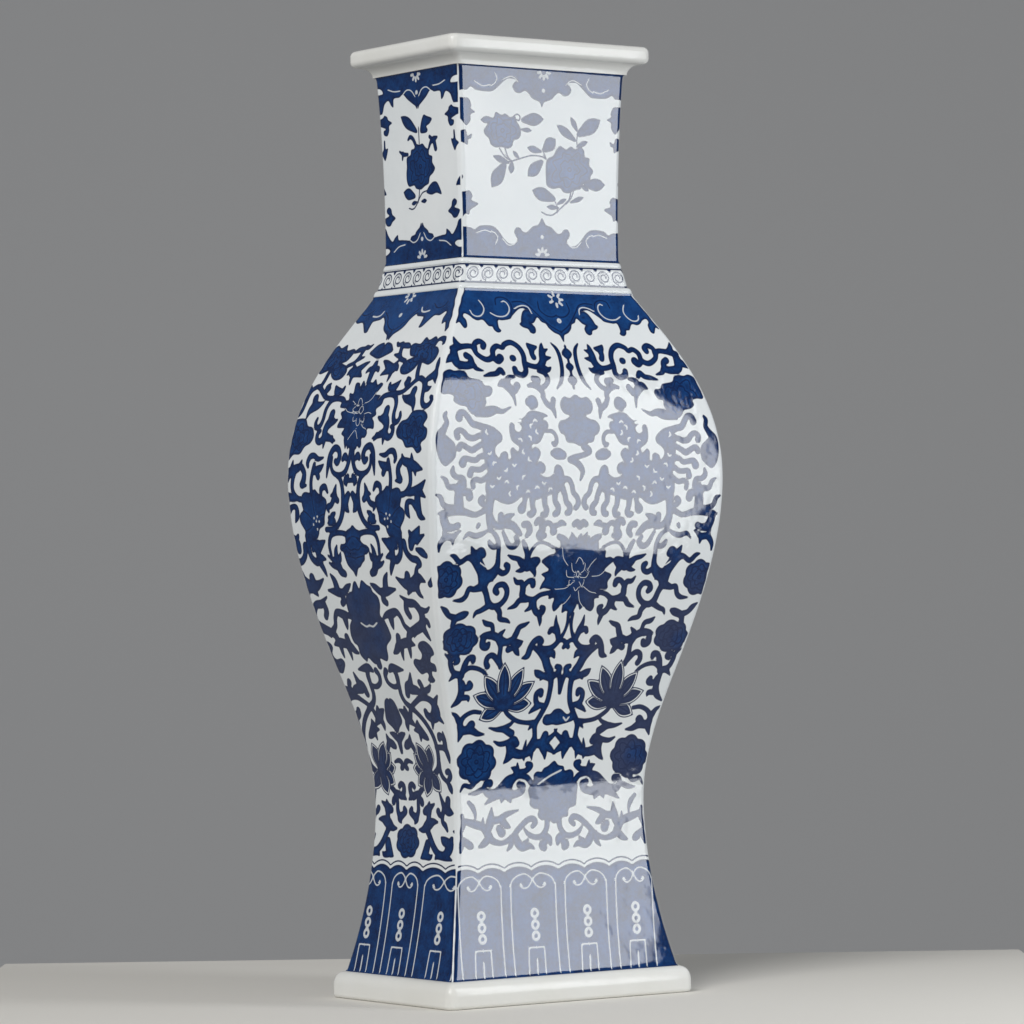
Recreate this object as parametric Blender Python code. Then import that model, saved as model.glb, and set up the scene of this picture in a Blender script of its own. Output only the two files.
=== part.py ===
"""Slab-built porcelain vase: a rectangular baluster with a straight neck, a flat rim and a plinth foot.

Four curved slabs, mitred along the corners, make the body, and four flatter ones make the neck.
A moulded band covers the joint between them, a rim plate closes the neck's edge, and the body stands
on a plinth that carries the floor. A coil of clay backs every corner seam on the inside.
X runs across the broad front, Y runs from front to back and Z is up, with the origin under the foot.
"""

import math

import bmesh
import bpy

# Driving dimensions, in metres

# How far apart two luted pieces lie, which is the line of slip between them
SLIP_JOINT = 0.0003

# Body: half sizes at the knots of the profile, and the heights between the knots
FOOT_HALF_WIDTH = 0.0594
WAIST_HALF_WIDTH = 0.0497
FLANK_HALF_WIDTH = 0.0623
BELLY_HALF_WIDTH = 0.0768
SHOULDER_HALF_WIDTH = 0.0626
COLLAR_HALF_WIDTH = 0.0455
FOOT_HALF_DEPTH = 0.0401
WAIST_HALF_DEPTH = 0.0311
FLANK_HALF_DEPTH = 0.0398
BELLY_HALF_DEPTH = 0.0549
SHOULDER_HALF_DEPTH = 0.0458
COLLAR_HALF_DEPTH = 0.0332
FOOT_TO_WAIST = 0.0718
WAIST_TO_FLANK = 0.0570
FLANK_TO_BELLY = 0.0820
BELLY_TO_SHOULDER = 0.0500
SHOULDER_TO_COLLAR = 0.0273
BODY_WALL = 0.0060

# Body: how far a wall leans out for each metre that it climbs, where it isn't upright
FOOT_LEAN_WIDTH = -0.24
FLANK_LEAN_WIDTH = 0.31
SHOULDER_LEAN_WIDTH = -0.57
COLLAR_LEAN_WIDTH = -0.62
FOOT_LEAN_DEPTH = -0.26
FLANK_LEAN_DEPTH = 0.265
SHOULDER_LEAN_DEPTH = -0.37
COLLAR_LEAN_DEPTH = -0.50

# Neck
NECK_HEIGHT = 0.0806
NECK_FOOT_HALF_WIDTH = 0.0417
NECK_MOUTH_HALF_WIDTH = 0.0441
NECK_FOOT_HALF_DEPTH = 0.0294
NECK_MOUTH_HALF_DEPTH = 0.0312
NECK_FOOT_LEAN = -0.005
NECK_MOUTH_LEAN = 0.065
NECK_WALL = 0.0055

# Corners of the slabs, and the coils behind their seams
ARRIS_RADIUS = 0.0025
COIL_SIZE = 0.0050

# Moulded band between the body and the neck
BAND_HEIGHT = 0.0131
LOWER_BEAD_HEIGHT = 0.0034
UPPER_BEAD_HEIGHT = 0.0026
BEAD_PROUD = 0.0005

# Rim plate, with its cove down to the neck
RIM_OVERHANG = 0.0083
RIM_THICKNESS = 0.0073
RIM_EDGE_RADIUS = 0.0020
RIM_CORNER_RADIUS = 0.0035
COVE_HEIGHT = 0.0045
COVE_ROOT = 0.0012

# Plinth and floor
PLINTH_HEIGHT = 0.0112
PLINTH_OVERHANG = 0.0047
PLINTH_CORNER_RADIUS = 0.0040
PLINTH_NOSE_HEIGHT = 0.0060
PLINTH_EDGE_RADIUS = 0.0018
LEDGE_HEIGHT = 0.0050
LEDGE_WIDTH = 0.0050
FLOOR_THICKNESS = 0.0055

# The four corners of a level cut, as signs of X and Y, anticlockwise
CORNER_SIDES = ((1, 1), (-1, 1), (-1, -1), (1, -1))

# Fineness of the curves
STEPS_PER_SPAN = 6
NECK_STEPS = 8
ARC_STEPS = 3
CORNER_STEPS = 5

# Finishes: colour, then roughness
BLUE_AND_WHITE = ((0.36, 0.41, 0.58), 0.08)
WHITE_GLAZE = ((0.86, 0.87, 0.85), 0.08)
BARE_PORCELAIN = ((0.80, 0.77, 0.71), 0.55)


# Profiles


def hermite(knots, height):
    """Reads a smooth curve through (height, value, lean) knots."""
    for (low, start, start_lean), (high, end, end_lean) in zip(knots, knots[1:]):
        if height <= high or high == knots[-1][0]:
            break
    span = high - low
    t = (height - low) / span
    rise = t * t * (3 - 2 * t)
    leave = t * (1 - t) ** 2 * span * start_lean
    arrive = t * t * (t - 1) * span * end_lean
    return start + (end - start) * rise + leave + arrive


def lean_at(knots, height, step=1e-5):
    """How far the curve leans out for each metre that it climbs."""
    return (hermite(knots, height + step) - hermite(knots, height - step)) / (2 * step)


def inner_half(knots, height, wall):
    """Half size inside a wall whose thickness is measured square to its face."""
    return hermite(knots, height) - wall * math.hypot(1, lean_at(knots, height))


def stations(knots, steps):
    """Heights that cut each span between two knots into equal steps."""
    heights = []
    for (low, *_), (high, *_) in zip(knots, knots[1:]):
        heights += [low + (high - low) * k / steps for k in range(steps)]
    return heights + [knots[-1][0]]


def body_knots(*halves_and_leans):
    """Knots of the body's profile, from the foot up to the collar."""
    spans = (FOOT_TO_WAIST, WAIST_TO_FLANK, FLANK_TO_BELLY, BELLY_TO_SHOULDER, SHOULDER_TO_COLLAR)
    heights = [sum(spans[:k]) for k in range(len(spans) + 1)]
    return [(height, half, lean) for height, (half, lean) in zip(heights, halves_and_leans)]


BODY_WIDTH = body_knots(
    (FOOT_HALF_WIDTH, FOOT_LEAN_WIDTH),
    (WAIST_HALF_WIDTH, 0),
    (FLANK_HALF_WIDTH, FLANK_LEAN_WIDTH),
    (BELLY_HALF_WIDTH, 0),
    (SHOULDER_HALF_WIDTH, SHOULDER_LEAN_WIDTH),
    (COLLAR_HALF_WIDTH, COLLAR_LEAN_WIDTH),
)
BODY_DEPTH = body_knots(
    (FOOT_HALF_DEPTH, FOOT_LEAN_DEPTH),
    (WAIST_HALF_DEPTH, 0),
    (FLANK_HALF_DEPTH, FLANK_LEAN_DEPTH),
    (BELLY_HALF_DEPTH, 0),
    (SHOULDER_HALF_DEPTH, SHOULDER_LEAN_DEPTH),
    (COLLAR_HALF_DEPTH, COLLAR_LEAN_DEPTH),
)
NECK_WIDTH = [
    (0, NECK_FOOT_HALF_WIDTH, NECK_FOOT_LEAN),
    (NECK_HEIGHT, NECK_MOUTH_HALF_WIDTH, NECK_MOUTH_LEAN),
]
NECK_DEPTH = [
    (0, NECK_FOOT_HALF_DEPTH, NECK_FOOT_LEAN),
    (NECK_HEIGHT, NECK_MOUTH_HALF_DEPTH, NECK_MOUTH_LEAN),
]
BODY_HEIGHT = BODY_WIDTH[-1][0]

# Heights at which the pieces stand, counted up from the table
BODY_BASE = PLINTH_HEIGHT + SLIP_JOINT
BAND_BASE = BODY_BASE + BODY_HEIGHT + SLIP_JOINT
NECK_BASE = BAND_BASE + BAND_HEIGHT + SLIP_JOINT
RIM_BASE = NECK_BASE + NECK_HEIGHT + SLIP_JOINT


# Mesh helpers


def loft(name, sections, closed=False):
    """Joins like polygons, one after the other, into one solid, with a flat face at each end of an open run."""
    mesh = bpy.data.meshes.new(name)
    bm = bmesh.new()
    loops = [[bm.verts.new(point) for point in section] for section in sections]
    pairs = list(zip(loops, loops[1:]))
    if closed:
        pairs.append((loops[-1], loops[0]))
    else:
        bm.faces.new(loops[0])
        bm.faces.new(loops[-1])
    for lower, upper in pairs:
        for k in range(len(lower)):
            bm.faces.new((lower[k - 1], lower[k], upper[k], upper[k - 1]))
    bmesh.ops.recalc_face_normals(bm, faces=bm.faces)
    bm.to_mesh(mesh)
    bm.free()
    mesh.shade_smooth()
    mesh.set_sharp_from_angle(angle=math.radians(35))
    return mesh


def arc(centre, radius, start, end, steps):
    """Points along an arc of a circle or, with two radii, of an ellipse. The angles are in degrees."""
    across, up = radius if isinstance(radius, tuple) else (radius, radius)
    angles = [math.radians(start + (end - start) * k / steps) for k in range(steps + 1)]
    return [(centre[0] + across * math.cos(angle), centre[1] + up * math.sin(angle)) for angle in angles]


def slab_section(half_span, half_depth, inner_span, inner_depth, z):
    """Level cut through the slab that faces -Y, with rounded outer corners and mitred ends."""
    shift = SLIP_JOINT / math.sqrt(2)
    corner = (half_span - ARRIS_RADIUS, half_depth - ARRIS_RADIUS)
    right = [(x - shift, y) for x, y in arc(corner, ARRIS_RADIUS, 45, 90, ARC_STEPS)]
    right = [(inner_span - shift, inner_depth)] + right
    outline = right + [(-x, y) for x, y in reversed(right)]
    return [(x, -y, z) for x, y in outline]


def slab_mesh(name, span_knots, depth_knots, wall, steps):
    """A wall slab: the depth knots curve its face, and the span knots set how wide it is at each height."""
    sections = []
    for z in stations(span_knots, steps):
        outer = (hermite(span_knots, z), hermite(depth_knots, z))
        inner = (inner_half(span_knots, z, wall), inner_half(depth_knots, z, wall))
        sections.append(slab_section(*outer, *inner, z))
    return loft(name, sections)


def coil_mesh(name, width_knots, depth_knots, wall, steps):
    """The clay pressed into an inner corner, at +X and +Y: two short wings and a hollow face between them."""
    wing = 0.12 * COIL_SIZE
    hollow = 0.42 * COIL_SIZE
    outline = [(0, 0), (COIL_SIZE, 0), (COIL_SIZE, wing), (hollow, hollow), (wing, COIL_SIZE), (0, COIL_SIZE)]
    sections = []
    for z in stations(width_knots, steps):
        x = inner_half(width_knots, z, wall) - SLIP_JOINT
        y = inner_half(depth_knots, z, wall) - SLIP_JOINT
        sections.append([(x - dx, y - dy, z) for dx, dy in outline])
    return loft(name, sections)


def frame_mesh(name, profile):
    """A moulding round a rectangle. A profile point is (half width, half depth, corner radius, z)."""
    sections = []
    for corner, (side_x, side_y) in enumerate(CORNER_SIDES):
        for step in range(CORNER_STEPS + 1):
            angle = math.radians(90 * (corner + step / CORNER_STEPS))
            sections.append([
                (
                    side_x * (width - radius) + radius * math.cos(angle),
                    side_y * (depth - radius) + radius * math.sin(angle),
                    z,
                )
                for width, depth, radius, z in profile
            ])
    return loft(name, sections, closed=True)


def outset(half_width, half_depth, points, radius):
    """Profile points from (distance outwards, z) pairs, with a corner radius that follows the distance."""
    return [(half_width + d, half_depth + d, max(radius + d, ARRIS_RADIUS), z) for d, z in points]


# Scene and finishes


def start_scene():
    """An empty scene with the vase's collection and the empty that carries its pieces."""
    for old in list(bpy.data.objects):
        bpy.data.objects.remove(old)
    collection = bpy.data.collections.new("porcelain_vase")
    bpy.context.scene.collection.children.link(collection)
    carrier = bpy.data.objects.new("vase_carrier", None)
    collection.objects.link(carrier)
    return collection, carrier


COLLECTION, CARRIER = start_scene()


def place(name, mesh, finish, z, turn=0):
    """Puts a piece on the vase's axis at its height, turned about it, with a glaze of its own."""
    colour, roughness = finish
    material = bpy.data.materials.new(name + "_finish")
    material.use_nodes = True
    shader = material.node_tree.nodes["Principled BSDF"]
    shader.inputs["Base Color"].default_value = (*colour, 1)
    shader.inputs["Roughness"].default_value = roughness
    shader.inputs["Metallic"].default_value = 0
    piece = bpy.data.objects.new(name, mesh)
    COLLECTION.objects.link(piece)
    piece.parent = CARRIER
    piece.location.z = z
    piece.rotation_euler.z = math.radians(turn)
    mesh.materials.append(material)
    return piece


# The pieces


def make_walls(part, width_knots, depth_knots, wall, steps, base):
    """The four slabs of the body or the neck, and the coil behind each of their seams."""
    faces = (
        ("front", width_knots, depth_knots, 0),
        ("right", depth_knots, width_knots, 90),
        ("back", width_knots, depth_knots, 180),
        ("left", depth_knots, width_knots, 270),
    )
    for side, span, depth, turn in faces:
        name = f"{part}_{side}_slab"
        place(name, slab_mesh(name, span, depth, wall, steps), BLUE_AND_WHITE, base, turn)
    corners = (
        ("back_right", width_knots, depth_knots, 0),
        ("back_left", depth_knots, width_knots, 90),
        ("front_left", width_knots, depth_knots, 180),
        ("front_right", depth_knots, width_knots, 270),
    )
    for corner, width, depth, turn in corners:
        name = f"{part}_{corner}_seam_coil"
        place(name, coil_mesh(name, width, depth, wall, steps), BARE_PORCELAIN, base, turn)


def make_band():
    """The sloping band over the joint: a bead at each edge with a flat panel between them."""
    panel_top = BAND_HEIGHT - UPPER_BEAD_HEIGHT
    outline = []
    for base, height in ((0, LOWER_BEAD_HEIGHT), (panel_top, UPPER_BEAD_HEIGHT)):
        outline += arc((0, base + height / 2), (BEAD_PROUD, height / 2), -90, 90, 2 * ARC_STEPS)

    def slope(low, high, z):
        return low + (high - low) * z / BAND_HEIGHT

    profile = [
        (
            slope(COLLAR_HALF_WIDTH, NECK_FOOT_HALF_WIDTH, z) + d,
            slope(COLLAR_HALF_DEPTH, NECK_FOOT_HALF_DEPTH, z) + d,
            ARRIS_RADIUS + d,
            z,
        )
        for d, z in outline
    ]
    inner_top = [inner_half(knots, 0, NECK_WALL) for knots in (NECK_WIDTH, NECK_DEPTH)]
    inner_low = [inner_half(knots, BODY_HEIGHT, BODY_WALL) for knots in (BODY_WIDTH, BODY_DEPTH)]
    profile += [(*inner_top, SLIP_JOINT, BAND_HEIGHT), (*inner_low, SLIP_JOINT, 0)]
    place("shoulder_band", frame_mesh("shoulder_band", profile), BLUE_AND_WHITE, BAND_BASE)


def make_rim():
    """The flat plate round the mouth: a rounded edge, and a cove underneath that runs down to the neck."""
    edge = RIM_OVERHANG - RIM_EDGE_RADIUS
    low = COVE_HEIGHT
    top = COVE_HEIGHT + RIM_THICKNESS
    cove_reach = RIM_OVERHANG - RIM_EDGE_RADIUS - COVE_ROOT
    cove = arc((COVE_ROOT + cove_reach, 0), (cove_reach, low), 180, 90, 2 * ARC_STEPS)
    lower_edge = arc((edge, low + RIM_EDGE_RADIUS), RIM_EDGE_RADIUS, -90, 0, ARC_STEPS)
    upper_edge = arc((edge, top - RIM_EDGE_RADIUS), RIM_EDGE_RADIUS, 0, 90, ARC_STEPS)
    outline = [(0, 0)] + cove[:-1] + lower_edge + upper_edge
    mouth = (NECK_MOUTH_HALF_WIDTH, NECK_MOUTH_HALF_DEPTH)
    profile = outset(*mouth, outline, RIM_CORNER_RADIUS - RIM_OVERHANG)
    bore = [inner_half(knots, NECK_HEIGHT, NECK_WALL) for knots in (NECK_WIDTH, NECK_DEPTH)]
    lip = arc((RIM_EDGE_RADIUS, top - RIM_EDGE_RADIUS), RIM_EDGE_RADIUS, 90, 180, ARC_STEPS)
    profile += outset(*bore, lip + [(0, 0)], ARRIS_RADIUS)
    place("rim_plate", frame_mesh("rim_plate", profile), WHITE_GLAZE, RIM_BASE)


def make_plinth():
    """The moulded foot: a bullnosed frame with a ledge inside for the floor, open underneath."""
    nose_centre = (0, PLINTH_HEIGHT - PLINTH_NOSE_HEIGHT)
    nose = arc(nose_centre, (PLINTH_OVERHANG, PLINTH_NOSE_HEIGHT), 0, 90, 2 * ARC_STEPS)
    foot_edge = PLINTH_OVERHANG - PLINTH_EDGE_RADIUS
    lower_edge = arc((foot_edge, PLINTH_EDGE_RADIUS), PLINTH_EDGE_RADIUS, -90, 0, ARC_STEPS)
    foot_radius = PLINTH_CORNER_RADIUS - PLINTH_OVERHANG
    profile = outset(FOOT_HALF_WIDTH, FOOT_HALF_DEPTH, lower_edge + nose, foot_radius)
    rebate = [inner_half(knots, 0, BODY_WALL) for knots in (BODY_WIDTH, BODY_DEPTH)]
    steps = [(0, PLINTH_HEIGHT), (0, LEDGE_HEIGHT), (-LEDGE_WIDTH, LEDGE_HEIGHT), (-LEDGE_WIDTH, 0)]
    profile += outset(*rebate, steps, ARRIS_RADIUS)
    place("foot_plinth", frame_mesh("foot_plinth", profile), WHITE_GLAZE, 0)


def make_floor():
    """The flat slab that closes the bottom. It lies on the plinth's ledge, inside the walls."""
    width, depth = (inner_half(knots, 0, BODY_WALL) - SLIP_JOINT for knots in (BODY_WIDTH, BODY_DEPTH))
    outline = []
    for corner, (side_x, side_y) in enumerate(CORNER_SIDES):
        centre = (side_x * (width - ARRIS_RADIUS), side_y * (depth - ARRIS_RADIUS))
        outline += arc(centre, ARRIS_RADIUS, 90 * corner, 90 * (corner + 1), ARC_STEPS)
    sections = [[(x, y, z) for x, y in outline] for z in (0, FLOOR_THICKNESS)]
    place("floor_slab", loft("floor_slab", sections), BARE_PORCELAIN, LEDGE_HEIGHT + SLIP_JOINT)


make_plinth()
make_floor()
make_walls("body", BODY_WIDTH, BODY_DEPTH, BODY_WALL, STEPS_PER_SPAN, BODY_BASE)
make_band()
make_walls("neck", NECK_WIDTH, NECK_DEPTH, NECK_WALL, NECK_STEPS, NECK_BASE)
make_rim()
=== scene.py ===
"""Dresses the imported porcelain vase: glazed slabs with painted ornament, mouldings, stage and camera."""

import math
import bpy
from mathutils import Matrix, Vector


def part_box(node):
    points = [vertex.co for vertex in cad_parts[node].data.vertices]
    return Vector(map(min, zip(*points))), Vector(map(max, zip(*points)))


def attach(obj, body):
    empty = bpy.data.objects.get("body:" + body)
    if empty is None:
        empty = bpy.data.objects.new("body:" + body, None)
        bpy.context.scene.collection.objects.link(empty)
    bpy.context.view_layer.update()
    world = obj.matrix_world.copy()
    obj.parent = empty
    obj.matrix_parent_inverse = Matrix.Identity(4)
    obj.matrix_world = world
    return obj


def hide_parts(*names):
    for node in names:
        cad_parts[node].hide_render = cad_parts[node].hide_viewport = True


bl_info = {
    "name": "Blue and White Slab Vase",
    "version": (1, 0, 0),
    "blender": (4, 5, 0),
    "location": "3D View > Sidebar > Vase",
    "description": "Builds the glazed and painted pieces of a slab-built porcelain vase over its CAD frame",
    "category": "Object",
}

import bpy
import numpy as np
from mathutils import Matrix, Vector

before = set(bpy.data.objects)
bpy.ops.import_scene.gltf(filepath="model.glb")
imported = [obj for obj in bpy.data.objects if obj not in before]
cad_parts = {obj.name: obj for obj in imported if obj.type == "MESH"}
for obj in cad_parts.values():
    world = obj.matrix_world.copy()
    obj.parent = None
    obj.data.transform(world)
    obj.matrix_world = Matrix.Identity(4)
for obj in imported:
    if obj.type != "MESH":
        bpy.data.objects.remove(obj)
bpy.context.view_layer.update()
MM = 0.001
# A distance in millimetres that stands for no paint nearby
FAR = 30.0
# Fillet where a slab meets a moulding, and how finely round edges are stepped
EDGE_FILLET = 0.0005
ARRIS_STEPS = 7
EDGE_STEPS = 8
BEAD_STEPS = 10
# Stations along the sides of a plain moulding, and of the painted band, whose lines need more
PLAIN_STATIONS = (12, 12)
BAND_STATIONS = (180, 250)
# How far the camera stands round to the left of the front
HEADING = math.radians(35.65)
TABLE_HEIGHT = 0.75
# Columns and rows of the painted slabs' faces
BODY_GRID = (226, 400)
NECK_GRID = (200, 200)
# Levels of a CAD slab are told apart to a hundredth of a millimetre
LEVEL_DIGITS = 5
SHARP_ANGLE = math.radians(40)
# Places in the bake map, from 0 to 1: its margin, a face's end and height, the inner face, the caps' edges
MAP_MARGIN = 0.01
MAP_FACE_END = 0.88
MAP_FACE_HEIGHT = 0.97
MAP_INNER = (0.91, 0.96, 0.99)
MAP_CAPS = (0.990, 0.996)
# How far round a painted shape its distance is worked out, in millimetres
NEAR = 3.0
SIDES = (("front", 0), ("right", 90), ("back", 180), ("left", 270))


# Curves and profiles


def smooth_curve(x, y, q):
    """Value at q of a curve through the points (x, y): cubic pieces whose slopes are central differences."""
    slope = np.gradient(y, x)
    k = np.clip(np.searchsorted(x, q) - 1, 0, len(x) - 2)
    span = x[k + 1] - x[k]
    t = (q - x[k]) / span
    bend = t * (1 - t) ** 2 * slope[k] + t * t * (t - 1) * slope[k + 1]
    return y[k] + (y[k + 1] - y[k]) * t * t * (3 - 2 * t) + span * bend


def node_points(node):
    """The vertices of a CAD node as an array with one row each."""
    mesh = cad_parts[node].data
    points = np.zeros(3 * len(mesh.vertices))
    mesh.vertices.foreach_get("co", points)
    return points.reshape(-1, 3)


def wall_profile(node, axis):
    """Levels of a CAD slab, and its greatest distance from the vase's axis along X or Y at each level."""
    points = node_points(node)
    levels, where = np.unique(np.round(points[:, 2], LEVEL_DIGITS), return_inverse=True)
    reach = np.zeros(len(levels))
    np.maximum.at(reach, where, np.abs(points[:, axis]))
    return levels, reach


# Meshes from grids


def grid_mesh(name, points, closed_rows, caps):
    """Mesh of a grid of points (rows, columns, 3) whose columns close into a loop.

    A cell joins four neighbours. The rows close too, as on a ring, or end in two flat caps.
    """
    rows, columns = points.shape[:2]
    row = np.arange(rows if closed_rows else rows - 1)[:, None]
    column = np.arange(columns)[None, :]
    corners = [(row, column), (row, column + 1), (row + 1, column + 1), (row + 1, column)]
    cells = np.stack([(r % rows) * columns + c % columns for r, c in corners], axis=-1)
    loops = [cells.reshape(-1)]
    starts = np.arange(cells.size // 4) * 4
    if caps:
        loops += [np.arange(columns)[::-1], np.arange(columns) + (rows - 1) * columns]
        starts = np.append(starts, [cells.size, cells.size + columns])
    loops = np.concatenate(loops).astype(np.int32)
    mesh = bpy.data.meshes.new(name)
    mesh.vertices.add(rows * columns)
    mesh.vertices.foreach_set("co", points.astype(np.float32).reshape(-1))
    mesh.loops.add(len(loops))
    mesh.loops.foreach_set("vertex_index", loops)
    mesh.polygons.add(len(starts))
    mesh.polygons.foreach_set("loop_start", starts.astype(np.int32))
    mesh.update(calc_edges=True)
    mesh.validate()
    mesh.shade_smooth()
    mesh.set_sharp_from_angle(angle=SHARP_ANGLE)
    return mesh


def bake_map(mesh, across, up, caps):
    """UV map for the grid: across gives U at each column and one more, up gives V at each row."""
    u = np.stack([across[:-1], across[1:], across[1:], across[:-1]], axis=-1)
    v = np.stack([up[:-1], up[:-1], up[1:], up[1:]], axis=-1)
    cells = np.stack(np.broadcast_arrays(u[None, :, :], v[:, None, :]), axis=-1).reshape(-1, 2)
    if caps:
        edge = np.stack([across[:-1], np.full(len(across) - 1, MAP_CAPS[0])], axis=-1)
        edge[-2:, 1] = MAP_CAPS[1]
        cells = np.concatenate([cells, edge[::-1], edge])
    layer = mesh.uv_layers.new(name="OFBake")
    layer.data.foreach_set("uv", cells.astype(np.float32).reshape(-1))


def add_piece(name, mesh, material, nodes):
    """Links a finished piece to the scene under the root body, and hides the CAD nodes that it stands for."""
    mesh.materials.append(material)
    piece = bpy.data.objects.new(name, mesh)
    bpy.context.scene.collection.objects.link(piece)
    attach(piece, "root")
    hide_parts(*nodes)


def turned(points, degrees):
    """Points turned about the vase's axis."""
    c = round(math.cos(math.radians(degrees)))
    s = round(math.sin(math.radians(degrees)))
    x, y, z = np.moveaxis(points, -1, 0)
    return np.stack([c * x - s * y, s * x + c * y, z], axis=-1)


# Wall slabs


class Slab:
    """A wall slab facing -Y: a face curved by one profile, as wide at each height as the other says."""

    def __init__(self, face, side, low, high, wall, arris, columns, rows):
        """Rows lie at equal steps up the face, which turns out a hair at its ends."""
        samples = 4000
        fine = np.linspace(low, high, samples)
        steps = np.hypot(np.diff(fine), np.diff(smooth_curve(*face, fine)))
        length = np.concatenate([[0], np.cumsum(steps)])
        self.v = np.linspace(0, length[-1], rows)
        self.z = np.interp(self.v, length, fine)
        self.depth = np.minimum(smooth_curve(*face, self.z), face[1].max())
        self.half = np.minimum(smooth_curve(*side, self.z), side[1].max())
        fillet = EDGE_FILLET * (np.exp(-self.v / EDGE_FILLET) + np.exp((self.v - self.v[-1]) / EDGE_FILLET))
        self.depth += fillet
        self.half += fillet
        turn = np.linspace(0, math.pi / 4, ARRIS_STEPS + 1)
        flat = np.linspace(-1, 1, columns)
        self.turn = np.concatenate([-turn[:0:-1], 0 * flat, turn[1:]])
        self.place = np.concatenate([-np.ones(ARRIS_STEPS), flat, np.ones(ARRIS_STEPS)])
        self.arris = arris
        self.wall = wall

    def across(self):
        """Distance from the face's middle line, measured round the arris, for every row and outer column."""
        return (self.half - self.arris)[:, None] * self.place + self.arris * self.turn

    def points(self):
        """Outer columns along the face and round its arrises, then two columns for the inner face."""
        flat = (self.half - self.arris)[:, None]
        x = flat * self.place + self.arris * np.sin(self.turn)
        y = -(self.depth - self.arris)[:, None] - self.arris * np.cos(self.turn)
        inner_half = self.half - self.wall * np.hypot(1, np.gradient(self.half, self.z))
        inner_depth = self.depth - self.wall * np.hypot(1, np.gradient(self.depth, self.z))
        x = np.concatenate([x, inner_half[:, None], -inner_half[:, None]], axis=1)
        y = np.concatenate([y, -inner_depth[:, None], -inner_depth[:, None]], axis=1)
        z = np.broadcast_to(self.z[:, None], x.shape)
        return np.stack([x, y, z], axis=-1)

    def mesh(self, name, degrees):
        """The slab's closed mesh, turned to its side of the vase, with its bake map."""
        mesh = grid_mesh(name, turned(self.points(), degrees), closed_rows=False, caps=True)
        outer = np.linspace(MAP_MARGIN, MAP_FACE_END, len(self.turn))
        across = np.concatenate([outer, MAP_INNER])
        bake_map(mesh, across, MAP_MARGIN + MAP_FACE_HEIGHT * self.v / self.v[-1], caps=True)
        return mesh


# Mouldings


def rectangle_path(corner_steps, straight_steps):
    """Stations anticlockwise round a rounded rectangle: its corners' signs in X and Y, and outward angles."""
    signs = np.array([(1, 1), (-1, 1), (-1, -1), (1, -1)], float)
    stations = []
    for k in range(4):
        turn = np.linspace(90 * k, 90 * k + 90, corner_steps + 1)
        stations.append(np.stack([*np.broadcast_arrays(signs[k, 0], signs[k, 1], turn)], axis=-1))
        t = np.linspace(0, 1, straight_steps[k % 2] + 1)[1:-1, None]
        ahead = signs[(k + 1) % 4]
        between = signs[k] * (1 - t) + ahead * t
        stations.append(np.concatenate([between, np.full((len(t), 1), 90.0 * k + 90)], axis=1))
    sx, sy, degrees = np.concatenate(stations).T
    return sx, sy, np.radians(degrees)


def moulding_points(profile, path):
    """Carries a closed profile of (half width, half depth, corner radius, z) along the path."""
    width, depth, radius, z = profile.T[:, None, :]
    sx, sy, angle = (station[:, None] for station in path)
    x = sx * (width - radius) + radius * np.cos(angle)
    y = sy * (depth - radius) + radius * np.sin(angle)
    return np.stack([x, y, np.broadcast_to(z, x.shape)], axis=-1)


def arc(centre, radii, start, end, steps):
    """Points along an elliptic arc, from one angle to the other, in degrees."""
    angle = np.radians(np.linspace(start, end, steps + 1))
    return np.stack([centre[0] + radii[0] * np.cos(angle), centre[1] + radii[1] * np.sin(angle)], axis=-1)


def outset(half_width, half_depth, points, radius, least):
    """Profile rows from (distance outwards, z) points, with a corner radius that follows the distance."""
    d, z = points.T
    return np.stack([half_width + d, half_depth + d, np.maximum(radius + d, least), z], axis=-1)


# Painted ornament: the brush


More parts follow.
